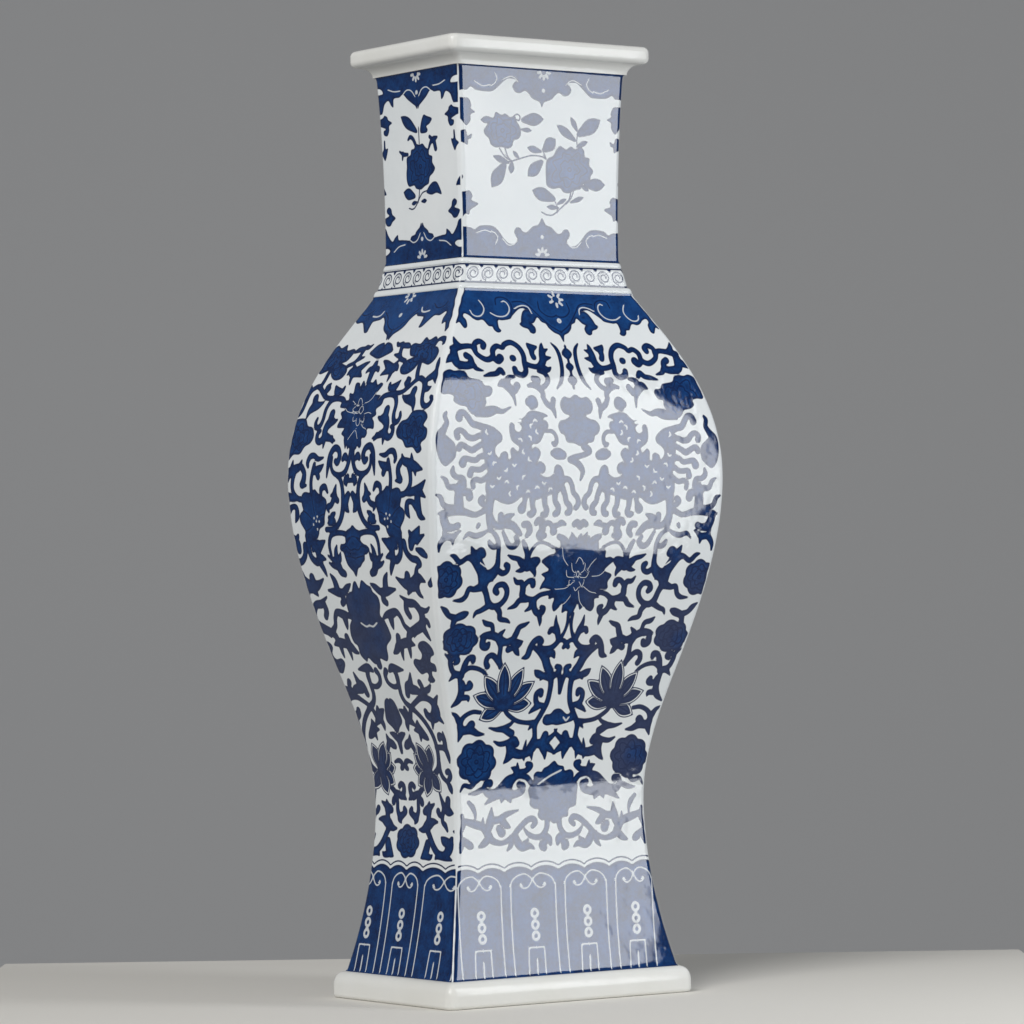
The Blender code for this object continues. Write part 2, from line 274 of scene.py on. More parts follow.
class Painting:
    """Cobalt on one panel: distances in millimetres at each point of a grid, negative inside the paint.

    blue is the distance to the edge of the painted shapes. line, cut and vein are signed distances to thin
    blue lines, thin lines left white and thin dark lines inside the paint, with the plain distance beside
    them, so that the jumps of the sign far from a line don't show.
    """

    THIN = ("line", "cut", "vein")

    def __init__(self, u, v, axis=None):
        self.u, self.v = np.broadcast_arrays(u, v)
        self.axis = axis or np.zeros_like
        self.blue = np.full(self.u.shape, FAR)
        self.signed = {kind: np.full(self.u.shape, FAR) for kind in self.THIN}
        self.near = {kind: np.full(self.u.shape, FAR) for kind in self.THIN}

    def knots(self, numbers, mirror, each):
        """Rows of knots from a flat list, left as they are or mirrored in the ornament's middle line."""
        rows = np.reshape(np.array(numbers, float), (-1, each))
        if mirror:
            rows[:, 0] = 2 * self.axis(rows[:, 1]) - rows[:, 0]
        return rows

    def window(self, points, margin):
        """Index of the grid points round a shape."""
        low = points.min(axis=0) - margin
        high = points.max(axis=0) + margin
        inside = (self.u > low[0]) & (self.u < high[0]) & (self.v > low[1]) & (self.v < high[1])
        return np.nonzero(inside)

    def spread(self, shape, points, margin=NEAR):
        """Adds a shape to the paint. shape gives the distance to its edge at the points of its window."""
        at = self.window(points, margin)
        self.blue[at] = np.minimum(self.blue[at], shape(self.u[at], self.v[at]))

    def clear(self, outline, gap):
        """Leaves a shape and a gap round it white, so that what is painted there next lies in front."""
        at = self.window(outline, gap + 1.0)
        inside = fill_distance(outline, self.u[at], self.v[at])
        self.blue[at] = np.maximum(self.blue[at], gap - inside)
        for kind in self.THIN:
            self.near[kind][at] = np.where(inside < gap, FAR, self.near[kind][at])

    def trim(self, margin):
        """Leaves the panel's edges white: margin is the distance to the nearest edge, less the strip."""
        self.blue = np.maximum(self.blue, -margin)
        for kind in self.THIN:
            self.near[kind] = np.where(margin < 0, FAR, self.near[kind])

    def swell(self, amount):
        """Lets the paint run out a little all round, as cobalt does under a glaze."""
        self.blue = self.blue - amount

    def stroke(self, numbers, mirror=False):
        """A brush stroke through points given as u, v and width, widening and narrowing between them."""
        path = flowing(self.knots(numbers, mirror, 3))
        reach = path[:, 2:].max() / 2
        self.spread(lambda u, v: brush_distance(path, u, v), path[:, :2], reach + NEAR)

    def patch(self, numbers, mirror=False):
        """A filled shape with a flowing outline through points given as u and v."""
        outline = flowing(self.knots(numbers, mirror, 2), closed=True)
        self.spread(lambda u, v: fill_distance(outline, u, v), outline)

    def thin(self, kind, numbers, mirror=False, closed=False, fine=1.0):
        """A thin even line through points given as u and v: kind says which, fine how much thinner."""
        path = flowing(self.knots(numbers, mirror, 2), closed)
        if closed:
            path = np.concatenate([path, path[:1]])
        at = self.window(path, NEAR)
        signed = line_distance(path, self.u[at], self.v[at])
        closer = np.abs(signed) < self.near[kind][at]
        self.signed[kind][at] = np.where(closer, fine * signed, self.signed[kind][at])
        self.near[kind][at] = np.where(closer, np.abs(signed), self.near[kind][at])

    def store(self, mesh, rows, columns):
        """Writes the distances to the mesh's vertices. Columns beyond the panel hold no paint."""
        fields = {"blue": self.blue, **self.signed, **{kind + "_near": self.near[kind] for kind in self.THIN}}
        for name, values in fields.items():
            field = np.full((rows, columns), FAR, np.float32)
            field[:, :self.u.shape[1]] = values
            attribute = mesh.attributes.new(name, "FLOAT", "POINT")
            attribute.data.foreach_set("value", field.reshape(-1))


def flowing(knots, closed=False, steps=6):
    """Points on a curve through the knots: cubic pieces, with slopes taken from each knot's neighbours."""
    if closed:
        before, after = np.roll(knots, 1, axis=0), np.roll(knots, -1, axis=0)
        slope = (after - before) / 2
        start, end, leave, arrive = knots, after, slope, np.roll(slope, -1, axis=0)
    else:
        slope = np.gradient(knots, axis=0)
        start, end, leave, arrive = knots[:-1], knots[1:], slope[:-1], slope[1:]
    t = (np.arange(steps) / steps)[None, :, None]
    start, end, leave, arrive = (part[:, None, :] for part in (start, end, leave, arrive))
    rise = t * t * (3 - 2 * t)
    curve = start + (end - start) * rise + t * (1 - t) ** 2 * leave + t * t * (t - 1) * arrive
    curve = curve.reshape(-1, knots.shape[1])
    return curve if closed else np.concatenate([curve, knots[-1:]])


def nearest_segment(path, u, v):
    """For each point, the place along each segment of the path and the offset from it."""
    start, step = path[:-1, :2], np.diff(path[:, :2], axis=0)
    du, dv = u[:, None] - start[:, 0], v[:, None] - start[:, 1]
    square = np.maximum((step**2).sum(axis=1), 1e-9)
    along = np.clip((du * step[:, 0] + dv * step[:, 1]) / square, 0, 1)
    return along, du - along * step[:, 0], dv - along * step[:, 1]


def brush_distance(path, u, v):
    """Distance to the edge of a stroke: how far the path is, less half the width there."""
    along, du, dv = nearest_segment(path, u, v)
    width = path[:-1, 2] + along * np.diff(path[:, 2])
    least = 0.2
    return (np.hypot(du, dv) - np.maximum(width, least) / 2).min(axis=1)


def line_distance(path, u, v):
    """Distance to a path, positive on its left and negative on its right."""
    along, du, dv = nearest_segment(path, u, v)
    far = np.hypot(du, dv)
    pick = far.argmin(axis=1)
    row = np.arange(len(u))
    step = np.diff(path[:, :2], axis=0)[pick]
    side = np.where(step[:, 0] * dv[row, pick] - step[:, 1] * du[row, pick] >= 0, 1, -1)
    return far[row, pick] * side


def fill_distance(outline, u, v):
    """Distance to a closed outline, negative inside, where a ray crosses it an odd number of times."""
    loop = np.concatenate([outline, outline[:1]])
    along, du, dv = nearest_segment(loop, u, v)
    a, b = loop[:-1], loop[1:]
    spans = (a[:, 1] > v[:, None]) != (b[:, 1] > v[:, None])
    crossing = a[:, 0] + (v[:, None] - a[:, 1]) * (b[:, 0] - a[:, 0]) / (b[:, 1] - a[:, 1] + 1e-9)
    inside = (spans & (crossing > u[:, None])).sum(axis=1) % 2
    return np.hypot(du, dv).min(axis=1) * np.where(inside, -1, 1)


# Painted ornament: motifs


def loop(u, v, across, up, count=12):
    """Points round an ellipse, as a flat list of u and v."""
    turn = np.linspace(0, 2 * np.pi, count, endpoint=False)
    return np.stack([u + across * np.cos(turn), v + up * np.sin(turn)], axis=-1).reshape(-1)


def petal_rings(painting, outline):
    """Petal edges inside a filled flower: scalloped rings that follow its outline."""
    middle = (outline.min(axis=0) + outline.max(axis=0)) / 2
    reach = outline - middle
    angle = np.unwrap(np.arctan2(reach[:, 1], reach[:, 0]))
    length = np.hypot(*reach.T)
    for share, petals in ((0.7, 7), (0.42, 5)):
        turn = np.linspace(angle.min(), angle.max(), 8 * petals + 1)
        edge = share * np.interp(turn, *np.array(sorted(zip(angle, length))).T)
        edge = np.minimum(edge, share * 1.25 * np.median(length))
        edge = edge * (0.78 + 0.3 * np.abs(np.sin(petals * (turn - turn[0]) / 2)))
        ring = middle + np.stack([edge * np.cos(turn), edge * np.sin(turn)], axis=-1)
        painting.thin("vein", ring[:-1].reshape(-1), closed=True)
    painting.thin("vein", loop(*middle, 0.9, 0.8), closed=True)


def rosette(painting, u, v, across, up, lobes, turn):
    """A full-blown flower: an oval edge pushed out into round lobes, with rings of petals inside."""
    angle = np.linspace(0, 2 * np.pi, 12 * lobes, endpoint=False)
    swell = 0.94 + 0.14 * np.abs(np.cos(lobes * angle / 2 + turn))
    ring = np.stack([np.cos(angle), np.sin(angle)], axis=-1)
    outline = (u, v) + ring * swell[:, None] * (across / 2, up / 2)
    painting.spread(lambda x, y: fill_distance(outline, x, y), outline)
    petal_rings(painting, outline)


def blossom(painting, numbers, mirror=False):
    """A filled flower with a free outline and petal rings."""
    painting.patch(numbers, mirror)
    petal_rings(painting, flowing(painting.knots(numbers, mirror, 2), closed=True, steps=3))


def petal_outline(base, tip, width):
    """A pointed petal from base to tip: narrow at its foot, widest past the middle."""
    base, tip = np.array(base, float), np.array(tip, float)
    axis = tip - base
    beside = np.array([-axis[1], axis[0]]) / np.hypot(*axis)
    place = np.array([0.0, 0.25, 0.55, 0.8, 1.0])[:, None]
    half = np.array([0.25, 0.7, 1.0, 0.72, 0.06])[:, None] * width / 2
    middle = base + place * axis
    return flowing(np.concatenate([middle + half * beside, (middle - half * beside)[::-1]]), closed=True)


def leaf(painting, base, tip, width):
    """A plain pointed leaf."""
    outline = petal_outline(base, tip, 1.12 * width)
    painting.spread(lambda u, v: fill_distance(outline, u, v), outline)


def outlined_petal(painting, base, tip, width):
    """A petal in front of the others: a thin blue line, a white edge, and the petal with a vein in it."""
    base, tip = np.array(base, float), np.array(tip, float)
    way = (tip - base) / np.hypot(*(tip - base))
    edge = petal_outline(base - 0.4 * way, tip + 1.1 * way, width + 1.3)
    outline = petal_outline(base, tip, width)
    painting.clear(edge, 0.3)
    painting.spread(lambda u, v: fill_distance(outline, u, v), outline)
    painting.thin("line", edge[::3].reshape(-1), closed=True, fine=1.3)
    painting.thin("vein", np.ravel((base + 0.3 * (tip - base), base + 0.85 * (tip - base))))


def lotus(painting, base, tips):
    """A lotus from the side: outlined petals from one base, the last in front, and a solid heart."""
    width = 5.4
    for tip in tips:
        outlined_petal(painting, base, tip, width)
    tips = np.array(tips)
    heart = loop(*(0.75 * np.array(base) + 0.25 * tips.mean(axis=0)), *(0.2 * np.ptp(tips, axis=0)))
    painting.patch(heart)


def open_lotus(painting, outline, lines):
    """A full lotus from the front: a ring of pointed petals, parted by fine pale lines."""
    painting.patch(outline)
    for numbers in lines:
        painting.thin("cut", numbers, fine=2.8)


def posy(painting, u, v, radius, turns):
    """A small flower left white: short petals round a dark heart, one for each turn in degrees."""
    for angle in np.radians(turns):
        way = radius * np.array([np.cos(angle), np.sin(angle)])
        painting.thin("cut", np.ravel(((u, v) + 0.8 * way, (u, v) + 1.3 * way)), fine=0.65)


def specks(painting, places, mirror):
    """Small curved marks left white, as on a coat: each bends round its place and faces as told."""
    places = np.array(places, float)
    angle = np.radians(places[:, 2:] + np.array([-75, 0, 75]))
    u = places[:, :1] + 0.75 * np.cos(angle)
    v = places[:, 1:2] + 0.75 * np.sin(angle)
    for mark in np.stack([u, v], axis=-1).reshape(-1, 6):
        painting.thin("cut", mark, mirror)


# Painted ornament: the broad faces of the body


# Strokes as u, v and width in millimetres, left of the middle line; each is repeated on the right
LOW_SCROLL = (
    (-47, 69, 1.5, -46.5, 65, 2.5, -48.5, 61.5, 3, -47.5, 57, 2.5, -48.5, 54, 2),
    (-46, 66.5, 2.5, -41, 65, 3.5, -36.5, 63.5, 3.5, -34, 60.5, 3.8, -32, 57.8, 3.2, -27, 56.5, 2.2,
     -22, 58.5, 2.6, -18, 62.2, 2.6, -14, 65.3, 2.6, -10.8, 66.2, 2.6, -9.3, 64.6, 2.6, -10.8, 63, 2.2),
    (-46.5, 58.5, 2.5, -44, 56.5, 3.6, -42.8, 55.8, 2.6), (-36.5, 64, 2.5, -36.3, 67.5, 0.6),
    (-34, 62, 3, -32.5, 66, 4, -31.8, 71.5, 0.8),
    (-32, 66, 3.5, -28, 66.5, 3, -24, 68.5, 2.5, -18, 70, 0.8),
    (-27, 66, 3, -24.5, 64, 3, -22.5, 62.8, 0.8), (-27, 61, 4.2, -28.2, 62.6, 3.2),
    (-34, 58.5, 3.5, -36.5, 56.5, 3, -39, 55.3, 0.9), (-22, 58.5, 3, -22.5, 55.5, 2.5, -24.5, 53.2, 0.8),
    (-20, 59, 3, -18.5, 56, 4, -16.5, 54.3, 3.5, -13, 54.8, 2.8, -10.3, 53.5, 0.8),
    (-15.5, 55.5, 3, -13.5, 57.3, 1.2),
    (-15.2, 62, 1, -13, 59.6, 2.2, -9.5, 58.3, 2.4, -6, 58.8, 2.6, -3.6, 61.8, 2.6, -3, 66, 2.8),
    (-6, 58.6, 2.6, -2.8, 57.5, 3.5, -1.8, 55, 1.6), (-4, 56.5, 2.2, -6, 54.8, 4, -5.2, 53.6, 3),
    (-43.6, 74.2, 1.8, -41.5, 72, 2.4, -40.3, 69, 1.6, -40.3, 66, 0.6),
)
LEAF_ROW = (
    (-43.5, 77.6, 0.8, -40, 78, 2.2, -36, 79.3, 2.6, -33.5, 77.5, 3.5, -29, 77.3, 5, -25, 79.5, 6.5,
     -22.5, 82.5, 5, -18.5, 84.3, 2.6, -14, 83.8, 2.6, -11.5, 81.5, 2.6),
    (-36, 79.5, 2.4, -34.5, 82, 2.6, -32.8, 81.8, 3.6), (-30, 76.5, 4, -35.3, 73, 0.6),
    (-26, 76.5, 4, -26.8, 73.5, 0.6), (-23, 76, 4, -22, 73.5, 0.8),
    (-24, 77, 5, -20, 76.8, 3.5, -16.5, 77.8, 3.2, -15.6, 80, 3, -17.5, 80.7, 3),
    (-19, 84.5, 3, -19.5, 87, 3, -21.8, 88, 0.8), (-18.5, 86, 3, -18.8, 89.8, 0.8),
    (-17, 85.8, 3, -14, 86.5, 2.6, -12, 88.5, 3, -13.5, 89.2, 2.6),
    (-47.8, 78.8, 0.8, -46, 81.3, 1.8, -42.5, 80.7, 2.2, -40.5, 82.5, 2.5),
    (-31.8, 99.5, 0.8, -28.5, 98.2, 2.2, -24.5, 98.8, 2.6, -21.5, 99.8, 3.4, -19.8, 98.2, 3),
    (-24, 98, 3, -22.5, 95, 5, -24, 92, 3, -26, 90, 0.8),
    (-22, 94.5, 4.5, -17.5, 93.5, 4, -13, 94.5, 3.5, -10.5, 97, 3.5), (-16, 93.5, 3, -15.5, 90.8, 0.6),
    (-12, 94, 2.5, -11.5, 91.2, 0.6), (-15.5, 96, 2, -15, 99.5, 0.6), (-13, 96, 3.5, -11, 100, 2.5),
    (-10.5, 98, 3, -6.5, 97.5, 4.5, -2.5, 95.5, 3, 0.5, 93.2, 0.8), (-6.5, 98, 4, -5.2, 101.5, 3.4),
    (-4, 99, 3, -0.8, 101.5, 2, 0.6, 103.8, 0.8), (-6, 96, 4, -5, 93.5, 2.5, -4.7, 91.2, 0.8),
)
LOTUS_STEMS = (
    (-10.5, 98, 3, -10.8, 102, 2.4, -11, 106, 2.6, -8.5, 110.5, 2.6, -6, 115.5, 2.6, -5.2, 121, 2.6,
     -5.4, 125, 3, -6.5, 128.5, 4, -8.5, 131.5, 4, -10, 134.5, 4, -13, 137.3, 3, -16.5, 139.5, 2),
    (-11, 107, 2.6, -16, 107, 2, -21, 108, 2, -26, 111, 2, -28.3, 114, 1.8),
    (-12, 106.5, 2.5, -14.3, 104, 0.8),
    (-34.8, 105.3, 0.8, -31, 104.5, 2, -27, 104.5, 3.2, -24, 103, 3.4, -22.8, 102.7, 3),
    (-27, 105, 2.5, -24, 106.5, 1.8, -22, 108, 0.8), (-55, 112.3, 0.8, -52.5, 111, 2, -50.5, 108.5, 3),
    (-40, 112, 1.8, -44, 112.3, 2, -48, 110.5, 2.2, -49.8, 107.5, 3, -49, 104, 3.5, -50, 100, 0.8),
    (-48.5, 104.5, 4, -44, 104.5, 3.5, -40.5, 103, 2.5, -37, 102.6, 0.8),
    (-46, 105, 3, -44.2, 107, 3.4, -43.5, 106.8, 3),
    (-10.5, 114, 3, -12, 116.5, 2.6, -12, 119.3, 2.6, -10, 120.3, 3, -9.6, 118.8, 2.4),
    (-10.5, 114, 3.2, -13, 112.5, 2.2, -14.8, 111, 0.8), (-11, 114.5, 3, -7.5, 114, 2.4),
    (-55, 114.8, 1, -52, 117.5, 3.2, -51, 121, 3.4, -52, 125, 2.6, -52.5, 127.5, 2.6, -51.5, 129.5, 2.6,
     -48.5, 131.3, 2.2, -44.5, 131, 2, -41, 129.5, 1.8, -39, 127.5, 1.8),
    (-51, 118.5, 2.6, -47.5, 118.5, 2.4, -46.8, 117, 0.8),
    (-51, 125, 2.2, -49.5, 122.8, 2.6, -47, 123.3, 3.4, -47.5, 124.8, 2.4),
    (-51.5, 130, 3, -50.8, 133, 3, -49.5, 135.5, 2.4, -47.5, 135.6, 3, -47, 134.4, 2.6),
    (-52, 128, 3, -55, 128.5, 3, -57.8, 126, 0.8),
    (-53, 128.5, 2.5, -56.5, 129.8, 2.4, -58.3, 133, 2.4, -59, 135.5, 2.2, -61.8, 137.5, 0.8),
    (-58, 135, 2.4, -56, 136, 2.2, -55, 134.5, 3, -56, 133.5, 2),
    (-32.5, 132, 2.6, -37, 136.3, 2.6, -39.7, 135.8, 2.6, -40.3, 133.5, 2.6, -39.3, 131.8, 2.8),
    (-32.5, 131.5, 2.6, -33.8, 135.5, 2.4, -34, 140, 2.4, -35.5, 143.5, 3.5),
    (-11, 136.6, 3, -7, 137, 3.4, -5.2, 134.8, 0.8),
    (-6, 126.5, 4, -9.5, 127, 3, -12.5, 128, 3.4, -14.5, 129.5, 0.9), (-10, 127, 3, -11, 125.3, 0.8),
    (-4.5, 127, 3, -2.5, 128, 2.8, -1.8, 130.2, 3, -3.3, 131, 2.4),
    (-1.8, 128, 2.6, -0.8, 125, 2.2, -0.4, 119, 0.8),
)
MIDDLE_LEAVES = (
    (-45, 151.8, 0.8, -43, 150.3, 2.4, -40, 149.5, 2.2, -39, 147, 2),
    (-45.3, 144.8, 0.8, -42.5, 145.2, 3, -38.5, 145, 3.6, -32, 142.3, 3, -29, 143, 2.8),
    (-43.5, 144, 3, -43.3, 141, 3.4, -41.3, 140.2, 3.4, -40.4, 141.5, 2.2),
    (-35, 145.5, 2.6, -33, 147.5, 0.8),
    (-33.5, 142, 3.5, -29, 142.5, 3, -27, 145.5, 3, -25.8, 148.3, 2.6, -23, 149.5, 2, -21, 150.6, 0.8),
    (-28.5, 142.5, 3.4, -25.5, 141.3, 4, -23, 142.3, 0.8),
    (-27, 140.5, 3.5, -25.3, 137.8, 2.6, -24, 136.3, 0.8), (-28, 139.5, 2.6, -29.8, 138.9, 3),
    (-60, 149.5, 2.4, -59, 152.5, 3.2, -55.5, 154, 3.6, -53.5, 154.8, 2),
    (-59.5, 153, 3, -62.5, 154, 2.4, -64.5, 156, 2.6, -67, 157.8, 0.8),
    (-65.2, 179.5, 0.8, -63, 178.8, 2.2, -60, 176.5, 2.4, -56.5, 178.3, 2.4, -53.5, 178, 4, -51, 176, 5,
     -48.5, 172.5, 5, -47, 169.5, 6, -47.2, 166.5, 4.5), (-55, 183, 0.8, -53.5, 180.5, 3, -51, 178.5, 4.5),
    (-52, 179, 4, -50, 180.8, 4, -48.8, 179.7, 3.4),
    (-46, 190, 1.6, -43, 187.5, 2.2, -41.3, 184, 2.2, -41, 179.5, 2.2, -41, 175, 3, -43, 171.5, 5,
     -46, 170, 6), (-41.3, 183.5, 2, -43.5, 182.8, 2.4, -45.3, 183.7, 2.6, -46.2, 185, 1.8),
    (-40.5, 173, 2.6, -38, 171.7, 2.6, -35.8, 172.5, 2.4, -35.4, 174.5, 2.6, -36.5, 175.2, 2.6),
    (-48, 166, 4, -51.5, 165, 2.6, -54, 165.2, 2.4, -55.3, 162, 2.4, -57.5, 160.5, 2.2, -61.3, 160.3, 0.8),
    (-47, 166.5, 3.4, -45, 163, 2.8, -43.5, 159.5, 3, -41, 157.6, 3, -37.5, 158.3, 2.6, -34.9, 161, 2.6,
     -34.6, 164.4, 2.6, -36.6, 166.8, 2.6, -39.5, 166.5, 2.6, -40.6, 164.5, 2.8, -39.5, 163.4, 2.6),
    (-43, 158, 3, -46.5, 156, 2.4, -49, 155, 2, -50, 153, 0.8),
    (-39, 157.5, 3, -37, 155, 2.6, -36.3, 152.3, 2.4, -33, 151.5, 2, -31, 150.5, 0.8),
    (-44.5, 169.5, 3, -42.3, 168.6, 0.8),
    (-46.5, 190.3, 0.8, -50, 188.3, 2.2, -53.5, 187.5, 2.4, -57, 188.3, 2, -59.5, 186.2, 0.8),
    (-71.2, 181, 1, -71, 184, 2.2, -68.5, 187, 3, -65, 187, 3, -62.5, 188.8, 1.6, -61, 189.5, 0.8),
    (-65, 187, 3, -64.5, 184, 0.8), (-68.5, 187, 3, -69.5, 190.5, 1.6),
    (-39.5, 189, 1.6, -36.3, 183.8, 2.6, -33.5, 183, 2.8, -31.8, 184.8, 2.6, -32.8, 186.8, 2.2),
    (-36, 179.3, 0.8, -33.5, 178.3, 2, -30.5, 177.6, 2.4, -28.5, 176, 3.6, -25.5, 174.5, 4.5),
    (-31, 172.5, 0.8, -28.5, 173, 2.4, -26, 175, 4),
    (-28.8, 185, 2, -27.5, 182.8, 2.6, -26.2, 179.5, 2.4, -25.8, 176, 3.5),
    (-25.5, 175, 4.5, -22.5, 176.5, 4, -20.5, 176.8, 3, -21.5, 175, 2.4),
    (-23, 174, 3.5, -21.5, 171.8, 2, -21, 170, 0.6),
    (-25.5, 178, 1.8, -24, 181.5, 1.6, -21, 184.3, 1.4, -17, 184.2, 1.4, -13, 182.5, 1.4),
    (-31.8, 169.8, 0.8, -30, 167.8, 2.2, -27.5, 167.6, 2.4, -26.5, 165, 3, -26.3, 162, 3.2, -24, 160.5, 3),
    (-26.5, 166, 2.6, -24, 168.2, 2.4, -22, 168, 3, -21.5, 166.5, 2.8),
    (-24, 160.5, 3, -27.5, 160, 2.6, -29.5, 157.8, 2.4, -33, 156.5, 0.8),
    (-24.5, 160.8, 2.6, -20.5, 160.3, 2.6, -17, 162.3, 2.2, -12, 163.3, 2),
    (-21, 160, 3, -21.5, 157, 2.4, -24, 155.3, 0.8),
    (-20, 160, 2.6, -19.3, 156.5, 2.8, -17.5, 154.5, 3, -15.2, 154.5, 2.6, -14.6, 156.3, 2.6,
     -15.8, 157, 2), (-16.5, 154, 2.6, -15.5, 151, 2, -15.3, 149, 0.6),
    (-12.5, 162.8, 2, -11.5, 160.5, 0.6),
    (-1.2, 154, 1.6, -1, 150, 1.6, -2, 146, 1.6, -4.5, 142, 2.4, -7.5, 139.4, 2.6, -11.5, 139, 2.4,
     -14.5, 140, 1.6),
    (-22, 135, 1, -19.5, 136, 3, -18.5, 139.5, 3, -17, 142, 3, -14.8, 143.3, 2.8, -13.2, 142, 2.8,
     -14.2, 141.4, 2.2), (-4.5, 143, 2.6, -5.8, 146.8, 3, -7, 150, 2, -7.4, 153.2, 0.6),
    (-6, 146.3, 2.8, -8.8, 147.3, 2.6, -9.7, 146, 2.2),
    (-3.5, 142.5, 2, -1.6, 142.3, 2, -0.4, 140.8, 2.4, -1.2, 139.4, 2),
)
CREATURE = (
    (-46, 190, 2.6, -47, 195, 3.4, -47, 201, 4, -46.5, 206, 5),
    (-61.2, 236.4, 3.6, -60.4, 238.3, 3, -58.4, 238.6, 2.6, -56.6, 236.6, 2.8, -54.6, 234, 3,
     -51.5, 233.2, 3, -46.5, 231.5, 4),
    (-62.8, 228.4, 3, -63.2, 230.2, 2.6, -61.4, 231.2, 2.4, -59.4, 230.4, 2.6, -57.4, 228.4, 2.8,
     -54.6, 228, 2.6, -51.5, 229, 2.6, -47.5, 228.5, 4),
    (-62.4, 223.8, 3.2, -60.8, 225.2, 2.4, -56.2, 223, 2.8, -53.6, 224, 2.6, -50.5, 225.4, 2.6,
     -47, 225, 4), (-60.8, 217.6, 4, -59.6, 219.4, 2.6, -54.4, 218.8, 2.4, -52, 220.3, 2.4, -47, 221, 4),
    (-57.2, 213, 3.2, -56.6, 215, 2.4, -54, 214.9, 2.4, -51.6, 215.1, 2.4, -49, 216.6, 2.6, -46, 217, 4),
    (-55.6, 207.8, 2.4, -56, 209.8, 2.2, -54.2, 210.8, 2.4, -51.6, 210.4, 2.4, -49.4, 211.4, 2.6,
     -46.5, 212.5, 4),
    (-17.5, 231.2, 1.4, -14.6, 231.3, 1.8, -12.6, 229.6, 1.8, -12.3, 227.2, 2, -13.4, 225.8, 2.4,
     -14.4, 226.2, 1.6), (-47.5, 200, 2.6, -50, 200.3, 2.4, -51.6, 202, 3.2, -50.8, 203.2, 2.8),
    (-29, 203.8, 2.8, -29.4, 201.4, 2.4, -30.6, 198.8, 4.4),
    (-25.4, 203, 3, -25, 199.6, 2.6, -24.4, 197.6, 2.8, -25.6, 196.4, 3, -26.8, 196.6, 2.4),
    (-19.2, 204, 3, -18.8, 200.6, 2.6, -17.8, 198.2, 2.8, -18.4, 196.4, 3, -19.8, 196.4, 2.4),
    (-13.6, 205.5, 3, -13.6, 202, 2.6, -11.9, 199.6, 2.8, -12.2, 197.2, 3, -13.4, 196.6, 2.8),
    (-10, 207.6, 3, -8.5, 204.4, 2.6, -7.8, 201.8, 2.6, -6, 199.8, 2.8, -6, 197.6, 3, -7.2, 197, 2.6),
    (-9.4, 211.2, 3, -6.6, 211, 2.4, -5, 208.6, 2.4, -4.2, 205.6, 2.4, -2, 203.4, 2.4, -1.6, 200.8, 2.6,
     -2.6, 199.3, 2.6), (-47, 196, 3.5, -44.5, 192.5, 3, -41, 191.5, 3, -37.5, 193, 3.4),
    (-41.2, 196, 3, -40.8, 194, 3, -37.5, 195.3, 3, -34.5, 196.5, 1),
    (-38, 192.5, 4, -34.5, 191.5, 3.5, -32, 189.3, 3, -30.3, 188, 1.6),
    (-29, 192.2, 3, -27, 192, 3.2, -25.9, 189.5, 3, -27.2, 187.5, 2.2),
    (-22.8, 192.8, 2.6, -21.8, 194.2, 2.4, -20, 193.3, 3.2, -19.5, 190, 3.5, -20.5, 187.5, 4,
     -18, 187.5, 2.4), (-19.5, 192, 3, -16.5, 192.8, 2.4, -14.3, 191.3, 2.4, -13.6, 189.4, 3.8),
    (-14, 191.5, 2.4, -11.5, 192, 2.2, -9.7, 192.8, 2.8, -7.5, 192.2, 1.2),
    (-3, 192.3, 2.8, -1.5, 193.3, 2.4, -0.3, 191.5, 3), (-10.5, 187, 2.6, -8, 186, 3, -5.5, 184.5, 2),
    (-4, 188.7, 0.8, -3, 186.5, 2.4, -1.5, 184.5, 3),
    (-71.8, 212, 0.8, -69.5, 210.5, 2.2, -68, 207.8, 2.4, -64.5, 207.5, 3, -62.5, 205, 4),
    (-65.6, 216, 1.2, -66, 213.6, 2.6, -64, 211.8, 2.4, -61, 211.3, 2.6, -60.4, 208.5, 3, -62, 206, 4),
    (-62.4, 208, 4, -62.8, 203, 4.6, -62.5, 198.5, 5), (-60.5, 206, 3, -58, 205.3, 3.6, -57.4, 203.7, 3.8),
    (-74.2, 204.5, 0.8, -72, 203.5, 2.2, -70.5, 200.5, 2.4, -67, 199, 3, -63, 198.8, 4),
    (-73, 196.7, 0.8, -69.5, 197, 3, -64, 198, 4, -59, 197.3, 3, -54, 196.3, 2.4, -49, 198.3, 2.6),
    (-70.5, 196.5, 3.5, -69.5, 193.5, 4, -68, 191.3, 4, -65, 191, 3, -62.6, 191.7, 3),
    (-52.8, 191, 1.4, -52.2, 192, 2.2),
    (-67.2, 238.7, 1.2, -68.2, 237, 2.2, -67.6, 234.4, 2.4, -69, 232, 2.8, -71, 229.5, 4),
    (-52, 238.3, 3, -46, 239.2, 4.6, -42, 240, 3.2, -38.6, 239.4, 2, -34.2, 241.3, 0.7),
    (-24.5, 243.5, 4, -22.5, 244.4, 4.4, -21.7, 242.7, 3.4, -23.5, 241.9, 3),
    (-14.5, 222, 2.8, -12, 221.8, 5, -9.5, 221.3, 4),
    (-17, 246, 2.2, -15.3, 243, 2.6, -12.6, 241, 2.6, -11.5, 237, 0.8),
    (-12.4, 242, 2.4, -11.7, 244.8, 2.6),
)
